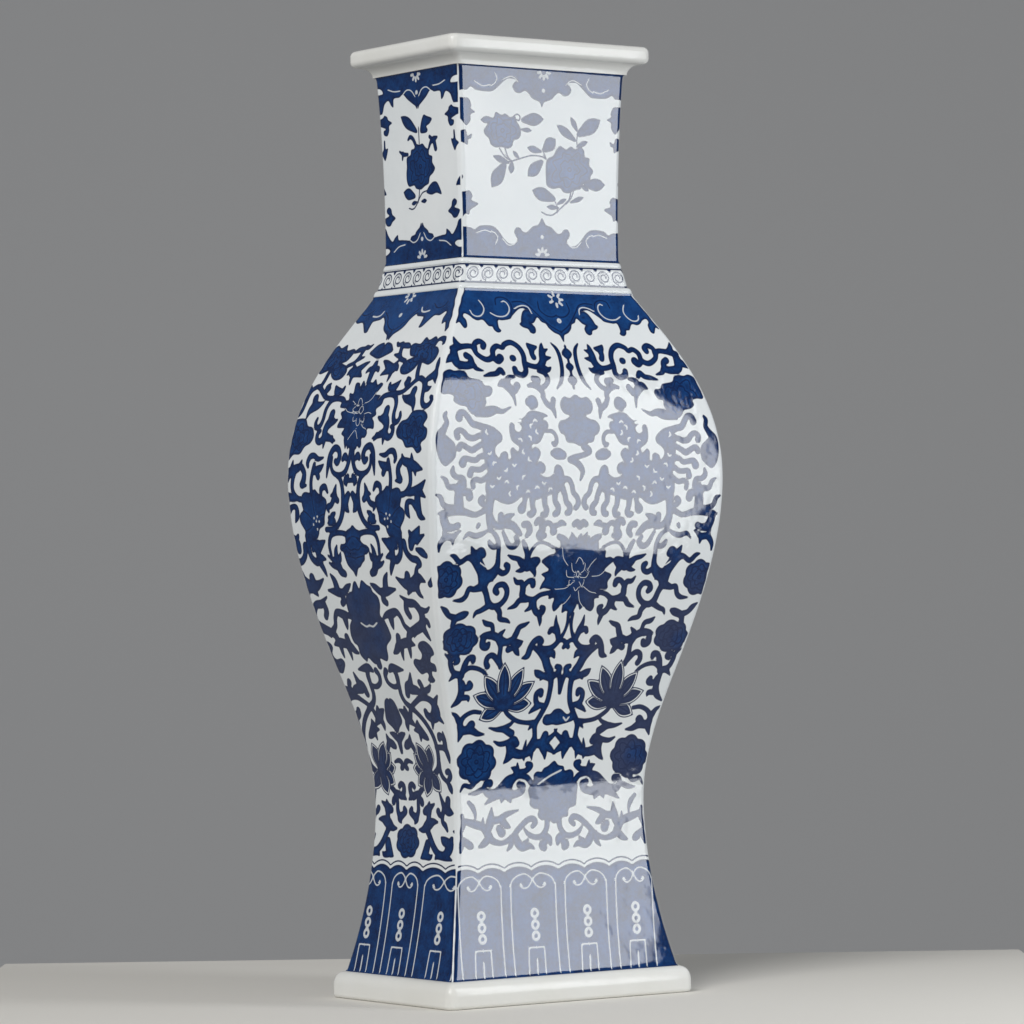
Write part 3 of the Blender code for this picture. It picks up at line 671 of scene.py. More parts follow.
UPPER_SCROLL = (
    (-60.5, 266.8, 0.8, -57.5, 266.8, 3, -53, 267.6, 2.6, -48.5, 267.6, 2.4, -46.6, 264.2, 2.4,
     -42.5, 261.9, 2.6, -39, 263.2, 2.6, -38.2, 266.3, 2.6, -35.6, 268.2, 2.4, -33, 267.5, 2.2,
     -31.5, 269, 2.4, -28, 270, 2.6, -24.6, 268, 2.6, -23, 264.5, 2.6, -23.3, 260.5, 2.6, -23.4, 257, 2.6,
     -25.6, 255.3, 2.6, -28.4, 256.3, 3, -28.9, 258, 2.8), (-56.5, 272, 0.6, -56, 269, 3, -54.5, 267.5, 3),
    (-47, 266.5, 2.4, -46.6, 269, 2.4, -44, 270.2, 2.6, -42, 269, 2.6, -42.8, 267.6, 2.8),
    (-58, 266, 3.5, -58.5, 262.5, 4.5, -57.5, 259.7, 4, -53.5, 259, 3.6, -50, 259.3, 3, -48.5, 257.8, 2.2,
     -45.2, 256.8, 0.8), (-58.5, 263, 4, -61.5, 261.8, 3, -63.8, 260.2, 0.8),
    (-50.2, 259.7, 3, -50.6, 262.3, 3, -52.3, 263.5, 3.2),
    (-38.5, 262.5, 2.6, -36.7, 261.6, 3.4, -35.2, 262.8, 3.8), (-28.9, 262.8, 3, -28.5, 262.8, 3),
    (-23, 260.6, 2.4, -20, 259.5, 2.4, -16.5, 259.3, 2.6, -13.7, 261.5, 3.5, -13, 265, 3.5, -12.5, 268.5, 2,
     -12, 270, 0.6), (-13, 266, 3, -9.8, 267.3, 0.8), (-13, 263, 3.5, -9, 263.5, 0.8),
    (-14.5, 259.4, 3, -12, 258, 2.6, -10, 259, 0.8),
    (-19.8, 269.8, 0.8, -18.3, 268, 3.4, -16.5, 268, 2.4, -15, 268.4, 0.8),
    (-18, 267.5, 3.2, -18.3, 265, 2.6, -17.8, 263.5, 2.8),
    (-45.5, 254.5, 0.8, -42, 255.3, 2.2, -38.8, 255.8, 2.4, -36.5, 257.3, 2.8, -35.3, 256, 2.4),
    (-39, 250.5, 0.9, -36, 251.5, 4, -33.5, 249.5, 4, -32, 246, 2, -31.5, 242, 0.8),
    (-34.5, 251.5, 3.5, -33, 253.9, 2.6, -30, 254.6, 1.4), (-31, 248.4, 3, -29.2, 250.7, 3.2),
    (-20.3, 253.8, 2.8, -18.4, 253.2, 3.6),
    (-23.5, 250.7, 1.6, -21, 251, 2.6, -18.5, 250, 3, -16.8, 248, 2.6, -16, 245.2, 0.8),
    (-16.5, 249.8, 2.4, -14.2, 251.3, 2.2, -12.7, 253.7, 2.4, -14, 256.3, 2.2, -17, 257.2, 1.6),
    (-7, 270.2, 0.8, -4.9, 267.5, 1.8, -4.1, 263.5, 2, -4.4, 258, 2, -6, 253, 1.8, -8.8, 249.7, 0.8),
    (-12.5, 283.5, 3, -15.3, 284.3, 3.2, -16.8, 281.5, 4, -18.6, 279.2, 2.2, -20.5, 278.8, 0.6),
    (-16.8, 281, 4, -16, 278.3, 3.4, -14.5, 276.8, 3.4, -15.6, 275.5, 1.6),
)
# Filled shapes as u and v round the outline
FRONT_BLOSSOMS = (
    (-42.3, 248.4, -43.2, 250.2, -46, 250.6, -47.4, 252.6, -53, 253.8, -54.4, 256, -57, 256.9, -60, 256.6,
     -62.4, 257.2, -65.4, 256, -66.6, 253.6, -68.6, 251.6, -69, 248.6, -68, 246.4, -64.8, 246.4,
     -62.4, 245.6, -62.8, 243.4, -60.2, 241.8, -57, 241.2, -55.6, 239.2, -53.2, 237.8, -48.4, 240.4,
     -46.4, 243, -46.4, 245.2, -43.8, 246),
)
CREATURE_BODY = (
    -31.8, 236.8, -29.5, 236.3, -27.5, 237.5, -25.5, 239.3, -22.5, 239.9, -17.3, 238.8, -15.4, 237.4,
    -17.2, 237.2, -18.4, 236.2, -16.6, 235.6, -15.9, 233.6, -16.8, 231.8, -18.2, 230.8, -20.4, 227.2,
    -22.6, 225.8, -25, 225.6, -25.2, 223.6, -23.6, 224.6, -21.6, 223.6, -20.9, 221.4, -23.2, 217.6,
    -21.6, 218.6, -19.6, 217.8, -18.6, 216, -19.2, 214, -21, 212.8, -17.8, 212, -14.8, 213.2, -13.8, 216.4,
    -12.2, 217.3, -10.2, 216.2, -9.2, 213.6, -8.6, 210, -10, 207, -12.6, 205.2, -16, 204.6, -24, 202.4,
    -28, 203.6, -31, 203.6, -34, 201.6, -37.4, 200.6, -41, 201.2, -44, 202.4, -47.4, 203, -49.2, 205.6,
    -49.4, 209, -48.2, 212.4, -48.8, 216, -50, 220, -50.8, 228.6, -49.8, 232, -47.4, 233.5, -44, 232.6,
    -40.3, 229.6, -40.4, 227, -42.4, 225.6, -44, 224, -44, 221.6, -42.2, 219.8, -41.4, 221.6, -39.4, 222.6,
    -37.8, 221.8, -37.6, 219.4, -36.2, 219.8, -36.4, 223, -35, 224.3, -32.6, 222.6, -31.8, 224.4,
    -33.4, 225.6, -35.4, 227.2, -36.2, 230, -36, 233.6, -34.8, 234.8, -33.4, 233.8, -33.2, 231.6,
    -31.4, 230.8, -30, 231.8, -29.8, 233.4, -31.6, 234.8, -29.6, 234.8, -29.4, 235.6,
)
# Places of the marks on the creature, as u, v and the direction they face in degrees
CREATURE_SPECKS = (
    (-22.5, 235.4, 90), (-24.6, 233.4, 150), (-21.9, 231, 200), (-26, 228.2, 30), (-31, 227.3, 60),
    (-26.6, 219.4, 210), (-34.6, 217.2, 270), (-39, 215, 300), (-44.8, 217.4, 120), (-42.6, 211.8, 280),
    (-47, 222, 290), (-46, 208.4, 270), (-36.6, 205, 180), (-32.8, 207.6, 160), (-23, 207.4, 90),
    (-16.2, 206.7, 120), (-29.8, 211.8, 140), (-27.6, 205.6, 100), (-29.6, 222.5, 200), (-47.6, 230.6, 200),
    (-38.6, 209.6, 80), (-19.4, 209.8, 260),
)
FRONT_PATCHES = (
    CREATURE_BODY,
    (-72.6, 230.4, -69.4, 229.6, -65, 226.4, -64, 224, -64, 221.4, -64.8, 219.4, -69, 216.3, -71.2, 217.2,
     -72.6, 219.2, -73.6, 222.4, -73.8, 227),
    (-54, 280, -51.5, 279, -49.8, 276.2, -48, 277, -47.6, 280, -48.6, 281.8, -47.6, 283.2, -45.5, 282.4,
     -43.8, 280.8, -41.8, 280, -39, 280.3, -37, 277.6, -35.1, 277.2, -34.7, 275.8, -33.4, 274.6,
     -31.8, 274.7, -31, 275.6, -31.8, 277, -31.2, 280.4, -29, 280.4, -24.7, 281.2, -23, 282.8, -18.8, 286,
     -16.3, 286.6, -14.6, 286.2, -13.7, 284.9, -14, 283.2, -15, 284.5, -16.4, 284.9, -17.4, 284,
     -18.4, 280.3, -20.4, 278.7, -19.3, 277.4, -17, 276.6, -15.9, 274.9, -14.6, 274.4, -13.2, 275.3,
     -13.2, 277, -14.7, 277.7, -14.9, 278.8, -12.6, 279.9, -10.3, 282.3, -8.8, 280.3, -6.8, 279.3,
     -5.9, 277.4, -3.8, 275.3, -1.3, 274.1, 0.3, 272.2, 0.5, 300, -30, 301, -56, 300),
)
FRONT_OPEN_LOTUS = (
    0, 153, -2.4, 155.2, -4.8, 154.4, -5, 158.4, -6.6, 156.8, -9, 155, -10.3, 157.5, -9.8, 160.8,
    -12.8, 160.6, -11.2, 163.8, -15.4, 165.2, -17.8, 164.6, -17, 167.2, -15.8, 169.4, -17.8, 171.2,
    -14.2, 172.8, -16.4, 174.8, -18.4, 176.8, -14.6, 179.3, -11.6, 180.2, -12.4, 182.8, -9.4, 182.4,
    -9.6, 186.2, -6.2, 184.4, -4.2, 188, -2, 185, 0.8, 188.6, 3, 184.6, 5.2, 187.6, 7, 184, 10, 186.2,
    10.9, 182, 12.2, 182, 14.6, 181, 14.8, 178.1, 17.4, 178.3, 19.4, 176.8, 16.6, 174.4, 15, 172.4,
    19, 170.6, 17.3, 167.6, 17.6, 164.6, 13.6, 164.4, 12.6, 163, 13.8, 160.8, 11.5, 160.2, 11.8, 157,
    10.5, 154.9, 8, 155.6, 6.2, 157, 4.4, 155.6, 3, 158.4, 2, 156.4,
)
FRONT_OPEN_LINES = (
    (-8.2, 182, -7.2, 178, -4.8, 175), (-9.5, 164.6, -5, 164.9, -3.4, 165.6),
    (9, 170, 13, 170.6, 17, 174.2), (-1.4, 161.6, -3.4, 159, -6, 157.4), (2.6, 163.4, 3.8, 159.4, 6, 156.8),
    (5.2, 165.4, 8.6, 163.4, 11.6, 162.8), (9.6, 177.4, 7.4, 175, 6, 172.6),
    (-2.6, 175.2, -1.8, 172.6, 0, 171.4), (4.6, 175.2, 4.2, 172.6, 2.4, 171.4),
    (-0.2, 176, 1, 178.2, 3, 176.6, 3.6, 174.8), (-5, 172.2, -4.2, 170, -1, 169.6),
    (6.8, 171.6, 5.6, 169.6, 2.8, 169.6), (-3, 168, -2.6, 166.2, -0.6, 167.8),
    (4.8, 167.6, 4, 165.6, 2.6, 167.4), (0, 165, 1, 163.8, 2.2, 165.2),
    (2, 171, 1.2, 172.5, 0.4, 171, 1.2, 169.5, 2, 171),
)
CENTRE_PATCHES = (
    (-12, 74.5, -12.8, 78.5, -10.2, 81.8, -10, 84.6, -8.4, 85.9, -6, 85.8, -5, 87.2, -2.6, 88.2, 0.4, 90.2,
     2.6, 88.4, 5.4, 87.7, 6.2, 85.9, 9, 86.3, 10.8, 84.8, 11, 81.6, 13, 80.2, 12.8, 76.8, 12.4, 73,
     11.8, 70.8, 8.4, 69.6, 7.8, 66.6, 5, 66, 2.6, 64.2, 0, 63.8, -2.6, 65.5, -6, 65.3, -8, 67.4,
     -7.4, 69.8, -10, 70.4, -12, 72),
    (-7.3, 108.4, -6, 110.2, -3.6, 110.5, -1.6, 112.3, 1.5, 112.5, 5, 110.2, 7.4, 110.8, 9.2, 109.8,
     9.4, 108, 7.4, 106.8, 1, 105.5, -2, 105.8, -5, 105.5, -7, 106.5),
    (-8.4, 241.4, -8, 244.2, -5.8, 246.2, -3, 245.6, 0, 247.2, 3, 245.8, 6, 246.2, 8.2, 244, 8.2, 241,
     6.6, 239, 3.8, 238.2, 6, 236.8, 9.4, 235.8, 11, 233, 9.6, 230.4, 8, 229.6, 6.8, 227, 3.4, 226.4,
     0.4, 225, -3, 226.2, -6.8, 226.8, -8, 229.6, -9.8, 230.6, -10.8, 233.2, -9.6, 235.6, -6.6, 236.4,
     -4, 238, -7, 239),
)
CLOUD_TAIL = (
    2, 225, 3.6, 4.4, 223, 3, 1.4, 221.4, 2.4, -2.6, 220.6, 2.4, -6, 219.4, 2.4, -3, 218.4, 3,
    -0.6, 216.6, 3, 0.6, 214.2, 2.4, -0.6, 210.8, 1,
)
WHITE_LINES = (
    (-44, 284.5, -43.6, 283, -42, 282, -39.7, 282.2, -37.8, 283.7, -36.7, 285.8, -37, 287.8, -37.9, 289.5),
    (-33.8, 283.7, -31.3, 282.4, -28.4, 282.2, -25.9, 283, -24, 284.9, -23.4, 287, -24, 288.9, -25.3, 289.8,
     -26.2, 289.4), (-12.6, 284.6, -13.4, 287, -15.6, 287.9, -18.4, 287.4, -20.6, 286.3),
    (-49.5, 176, -46, 174.5, -42.5, 177.5), (-20.6, 213.2, -17.6, 212.4, -14.8, 213.6),
)
DARK_LINES = (
    (-30, 288, -29, 291, -25.5, 291.6, -22.6, 290, -22, 286.5, -23.6, 283.4),
    (-21, 289.5, -17, 289.8, -13.5, 288.6, -10.6, 285, -5, 278.8, 0, 275.5),
    (-7.5, 290, -7.8, 286, -5, 283.3, -2, 282.8, 0, 283.6),
)
CENTRE_LINES = (
    (-7.4, 80.6, -2, 83.6, 4, 86), (3.6, 108.6, 5, 107.4, 6.2, 108.6),
)
# Full-blown flowers as u, v, width, height, lobes and turn
FRONT_ROSETTES = (
    (-40, 91, 19, 17.5, 8, 0.4), (-55.3, 143.4, 17.5, 13.5, 7, 0.2), (-66.2, 169, 16, 15, 7, 0.6),
)
# Base of the lotus seen from the side, then its petals' tips
FRONT_LOTUS = (
    -28.5, 114.6, -15.5, 115.2, -39, 109.5, -15, 124, -43.3, 119, -21, 129.7, -39.3, 126.8, -30.4, 131.8,
)
# How far the paint ran out on the broad faces, in millimetres
FRONT_SWELL = 0.06


def lappet(painting, middle, half, top, lean):
    """One panel of a lappet border, reserved in white: two crossed scrolls, three rings and a boxed bar."""
    for side in (-1, 1):
        line = (
            -half, 1, -half, top - 8, -0.98 * half, top - 4.6, -0.88 * half, top - 2.3, -0.64 * half,
            top - 0.6, -0.34 * half, top, -0.13 * half, top - 1.1, 0, top - 2.6, 0.17 * half, top - 5.1,
            0.34 * half, top - 6, 0.49 * half, top - 5.6, 0.56 * half, top - 4.4,
        )
        curl = loop(0.53 * half, top - 4.6, 0.35, 0.5, 6)
        painting.thin("cut", shifted(line, middle, side, lean), fine=1.25)
        painting.thin("cut", shifted(curl, middle, side, lean), closed=True)
        painting.thin("cut", shifted((0, 12, 3.4, 12, 4, 11, 4.3, 1), middle, side, lean), fine=1.25)
    for level in (26.5, 21.6, 16.9):
        for radius in (1.35, 1.85):
            painting.thin("cut", shifted(loop(0, level, radius, radius), middle, 1, lean), closed=True)
    painting.thin("cut", shifted((0, 1, 0, 7), middle, 1, lean))


def shifted(numbers, middle, side=1, lean=0):
    """Points given as u and v, mirrored or not, moved sideways, and leant over more towards the foot."""
    u, v = np.reshape(numbers, (-1, 2)).T
    upright = 42
    return np.stack([side * u + middle + lean * (1 - v / upright) ** 2, v], axis=-1).reshape(-1)


def foot_border(painting, edges, top, lean):
    """The dark border at the foot: a solid band of lappets with a scalloped edge and line above."""
    edges = np.array(edges, float)
    place = np.linspace(0, 2 * len(edges) - 2, 20 * len(edges))
    across = np.interp(place / 2, np.arange(len(edges)), edges)
    scallop = np.stack([across, top - 1.3 + 2.2 * np.abs(np.sin(np.pi * place)) ** 0.7], axis=-1)
    band = np.concatenate([scallop, [(FAR * 2, top - 1), (FAR * 2, -3), (-FAR * 2, -3), (-FAR * 2, top - 1)]])
    painting.spread(lambda u, v: fill_distance(band, u, v), band)
    painting.thin("line", (scallop + (0, 1.6)).reshape(-1))
    for left, right in zip(edges[:-1], edges[1:]):
        lappet(painting, (left + right) / 2, (right - left) / 2 - 2.5, top - 2.4, lean)


def paint_front(u, v):
    """The broad face of the body, from the lappets at the foot to those under the shoulder."""
    painting = Painting(u, v)
    for mirror in (False, True):
        for strokes in (LOW_SCROLL, LEAF_ROW, LOTUS_STEMS, MIDDLE_LEAVES, CREATURE, UPPER_SCROLL):
            for numbers in strokes:
                painting.stroke(numbers, mirror)
        for numbers in FRONT_PATCHES:
            painting.patch(numbers, mirror)
        for numbers in FRONT_BLOSSOMS:
            blossom(painting, numbers, mirror)
        for numbers in DARK_LINES:
            painting.thin("vein", numbers, mirror)
        for numbers in WHITE_LINES:
            painting.thin("cut", numbers, mirror, fine=1.4)
        specks(painting, CREATURE_SPECKS, mirror)
        for middle, *shape in FRONT_ROSETTES:
            rosette(painting, -middle if mirror else middle, *shape)
        base, *tips = painting.knots(FRONT_LOTUS, mirror, 2)
        lotus(painting, base, tips)
    open_lotus(painting, FRONT_OPEN_LOTUS, FRONT_OPEN_LINES)
    for numbers in CENTRE_PATCHES:
        painting.patch(numbers)
    painting.stroke(CLOUD_TAIL)
    for numbers in CENTRE_LINES:
        painting.thin("cut", numbers)
    posy(painting, 2.4, 291.4, 2.7, (0, 45, 100, 150, 205, 265, 315))
    painting.thin("cut", loop(0.8, 281, 0.8, 0.8, 8), closed=True)
    for level, size in ((265.5, 5.4), (259.5, 4.2), (253.5, 5.0)):
        painting.patch((-size / 2, level, 0, level - size / 2, size / 2, level, 0, level + size / 2))
    painting.stroke((0, 250, 1.2, 0, 269, 1.2))
    painting.swell(FRONT_SWELL)
    foot_border(painting, (-53.4, -26.6, 1.7, 28.6, 53), 45.5, -3)
    return painting


# Painted ornament: the narrow faces of the body


# Strokes right of the middle line, which leans a little on the vase; each is repeated on the left
SIDE_LOW = (
    (9, 63, 3, 11.5, 60, 3, 13.5, 57, 3.2, 16, 54.3, 3.2, 19, 52.5, 3, 23, 52, 4, 26.5, 55, 5,
     27.5, 58.4, 3, 28.6, 59.6, 0.8), (20.3, 59.4, 1, 22.5, 58, 3.8, 25.5, 57.3, 4),
    (16.5, 50.6, 1, 18.5, 51.8, 3, 24, 51.3, 3, 28.6, 50.3, 0.8),
    (6, 50.4, 0.8, 8.5, 52, 4, 10, 55, 4.4, 10, 56.8, 3), (9, 51.6, 3.6, 12.5, 50.9, 2.4, 14, 51.8, 0.8),
    (3.8, 62.2, 0.8, 7, 62.5, 3, 10.5, 64.5, 5, 14, 65.8, 3, 17.3, 65.8, 0.8),
    (10.5, 65, 4, 10.8, 68.5, 3, 10.8, 71, 4, 11.2, 74, 0.8), (7.8, 70, 3, 10, 70.8, 4, 14.8, 73.3, 0.9),
    (-2, 70.8, 2.2, -2.8, 69.5, 2.6, -0.5, 68, 3, 1.5, 66.8, 3.5, 0.5, 64.8, 0.9),
    (1.5, 67, 3, 3, 70, 2.4, 3, 73.5, 2.2, 3.8, 77, 2.6, 6.5, 79.5, 2.6, 10, 83, 2.6),
    (3.3, 75, 2, 5.3, 74.6, 2.8, 5.9, 73.4, 2.8),
    (0.6, 80.3, 2.4, -0.8, 81.2, 2.4, -2.5, 80.3, 2.6, -2.3, 77.8, 2.8, -0.5, 76.2, 3.4, 3, 77.5, 2.4),
    (-3.8, 74.8, 0.8, -1.5, 76, 3),
    (17, 86, 3, 20, 88.5, 2.6, 21.3, 92, 2.4, 21.8, 97, 2.4, 21, 102, 2.4, 18.8, 106.5, 2.4, 16, 110, 2.4,
     12.5, 113, 2.4, 9.5, 115, 3, 6.5, 117.2, 2.4, 5, 120.5, 2.4, 5.3, 125, 2.4, 5.4, 130, 2.6),
    (21.3, 91, 2.4, 21.2, 88, 2.4, 22.5, 85, 2.2, 25.5, 82.8, 2, 27.3, 80.5, 3, 28.2, 78.6, 1.4),
    (25.5, 82.8, 2, 28, 85, 2.6, 27.6, 87.2, 2.8, 25.8, 87, 2.2),
    (21.5, 97.5, 2.4, 25.5, 97.6, 2.4, 28, 96.6, 3, 29, 93.5, 2.4, 29.2, 91.3, 0.9),
    (28, 97.5, 3, 28.5, 101, 2.6, 28.6, 104.3, 0.8), (28, 101.8, 3, 25.7, 102.6, 3.2, 24.9, 101.3, 2.4),
    (18.8, 78.5, 0.8, 20.5, 75, 2, 22.5, 72, 3.4, 25.3, 70.6, 4, 28.5, 69.8, 0.8),
    (24.4, 72, 4, 25, 75.2, 3.4),
    (22, 71.5, 3, 20.8, 68.5, 2.4, 21, 66, 2.2, 23, 64.5, 2.4, 24.6, 62.4, 1.2),
    (20.6, 68.6, 2.6, 18.6, 69, 2.4, 17.6, 70.4, 2.8), (29, 62.3, 0.8, 31.5, 62, 2.4),
    (11.8, 109, 0.8, 11.5, 106.5, 3.6, 13, 104, 4.5, 15.5, 102, 3, 17, 101, 0.8),
    (8, 104.8, 0.8, 11, 105, 3.5), (12, 103.5, 3, 11.2, 100.4, 0.9),
    (0.5, 113.8, 0.8, 3, 112.3, 3.4, 5.5, 110, 4.5, 10, 106.5, 0.8), (4.8, 114.8, 1.4, 5, 112, 4),
    (5, 110, 3.5, 3.6, 107, 2.6, 3.6, 104.8, 0.9), (7, 110, 3, 9, 113.8, 2.2),
    (10.5, 115.3, 2.2, 14.5, 117.4, 2.2, 19, 119.2, 2.6, 24, 118.8, 3, 27.3, 116.5, 4.4, 27, 112.5, 6,
     23.5, 110.4, 4.4, 20.6, 111.5, 3.6, 19.9, 113.2, 2.8), (31.5, 120.3, 0.8, 28.5, 117.5, 3),
    (30.8, 108.3, 0.8, 28, 111, 3.4), (22, 105.8, 0.8, 23.2, 109.5, 3),
    (0.2, 103.3, 0.8, -2.5, 102.3, 3, -4.8, 100.5, 3.4, -5.5, 97, 1.8, -5.5, 94.6, 0.8),
    (3.5, 102.5, 0.8, 2.6, 99.8, 3, 0.5, 98.4, 3.8, -1, 97.5, 2.6),
    (2.5, 99.5, 3, 4.5, 96.8, 2.4, 4.6, 94.8, 0.8),
    (1.5, 90.6, 1, -1.5, 91.3, 2, -3.5, 90.5, 2.4, -3.8, 88.6, 2.4, -2.8, 88, 2),
)
SIDE_MIDDLE = (
    (-1.6, 131, 3, -3, 129, 2.4, -2.4, 125.9, 2.2, 1, 124, 2.2, 4.5, 124.6, 2.2, 5.8, 127.5, 2.2,
     5.2, 130.5, 3), (-5.3, 133.5, 3.6, -5.3, 137, 3),
    (1, 131, 1.6, 3.5, 132.4, 3.6, 7, 132, 3.2, 11.5, 131.5, 0.8),
    (9.8, 120.5, 3, 11.5, 124, 4, 14, 125.5, 3.6, 16, 130, 0.9),
    (13.5, 123, 4.6, 17.5, 122.5, 4, 20, 121, 3, 22, 123.7, 2.6, 21.2, 125.9, 3),
    (22, 122, 2.6, 26, 123, 2.6, 28.6, 125, 0.9),
    (8, 138.8, 0.9, 10.5, 140, 3, 13, 142, 4, 16.5, 143, 4, 21, 143.5, 4, 25, 142.5, 0.8),
    (13.2, 143, 3, 14.2, 146, 3.2), (15, 141.5, 3, 14.2, 138.5, 2, 14, 136, 0.8),
    (20.5, 142, 3, 20.2, 139, 2, 19.8, 137, 0.8),
    (21, 144, 3, 23.5, 147.3, 3.6, 29.5, 149.4, 4.4, 34.2, 151.5, 4.6, 35.2, 156, 4, 32, 160, 3.4,
     27.5, 160.6, 3.6, 25.3, 162, 2, 22.2, 163.6, 0.8), (34, 150, 4, 36, 146.6, 2.4, 37.3, 144.6, 0.9),
    (26, 146, 0.8, 28, 148.3, 3), (35, 153, 3, 38, 152.6, 2.6, 38.8, 150.8, 2),
    (35, 157.5, 3, 39, 157.2, 2, 41.8, 158.6, 0.8), (25.5, 160.5, 3, 24.9, 157.5, 3.4, 26.3, 155, 3),
    (24, 148.5, 3, 20.8, 151, 2.4, 19.4, 154.5, 2.4, 17, 156.8, 3, 13, 156, 4, 9, 155.4, 2.6,
     5.5, 153.5, 0.8), (12, 154.5, 4, 12, 151.5, 2.6, 12.2, 149.5, 0.8),
    (21.8, 171.5, 0.8, 25.5, 169.5, 3, 29, 168.5, 5, 34, 168.5, 6, 38, 171, 4.5, 42.5, 169.5, 0.9),
    (29.5, 169.5, 4, 30.4, 172.2, 3.8), (31, 167, 4, 28.6, 164.5, 1.2),
    (35.5, 167, 4, 36.8, 164.3, 2.4, 38.8, 162.8, 0.8),
    (36.8, 171, 4, 38, 175, 2, 41, 176.8, 2.4, 39.5, 178.6, 3, 35.5, 179.4, 3, 32.4, 182, 3,
     31.4, 186, 3.4), (36.3, 184.2, 3.4, 37.6, 187, 5, 41, 189, 4.8, 44, 192.4, 0.9),
    (36.3, 190.5, 1.6, 38, 188, 4), (41, 187, 4, 46.8, 189, 0.8),
    (40, 183, 1.6, 43.5, 181.8, 3.6, 46.2, 180.3, 2.4), (45.5, 168.3, 2.6, 48.5, 169.6, 4),
    (15.8, 187.8, 0.9, 19, 186.4, 3.6, 22, 184.8, 5, 24.6, 185.8, 3.4, 25.5, 184.2, 2.2),
    (20.5, 187, 2.6, 25, 187.6, 2.6, 27.8, 186.4, 2),
    (17, 180, 0.9, 20.5, 180.5, 3.4, 24, 178.8, 3.4, 27.4, 180.7, 3, 28.6, 184, 3, 28.6, 188.5, 4),
    (22, 179, 3.4, 19.7, 175.5, 2.6, 18.5, 172.8, 0.9), (22, 183, 4, 22, 180, 3.4),
    (4.5, 173.5, 3, 7, 174.8, 4, 8.3, 178.5, 4, 8.3, 183, 2.6, 7, 185.6, 0.9),
    (9, 178.7, 4, 12.5, 180.2, 1.8, 14.8, 181.5, 0.8), (9, 176.5, 3, 12.5, 177.2, 2, 14.8, 178.4, 0.8),
    (6.3, 180, 3, 5, 182.3, 0.9),
    (12.3, 181.5, 1.8, 12.6, 186, 2, 11.2, 189.6, 2.2, 8, 191, 2.4, 3, 191, 2.2, 0, 190.5, 2.4),
    (2, 169, 0.8, 5, 167.5, 3, 8.5, 165.5, 3.4, 12, 165.5, 4, 15.5, 166, 3, 19.8, 166.5, 0.9),
    (12.5, 166, 4, 13.5, 170.5, 3.2, 15.7, 173.4, 0.9), (10.3, 164.5, 3, 9.4, 162, 3, 11.1, 160.8, 3),
)
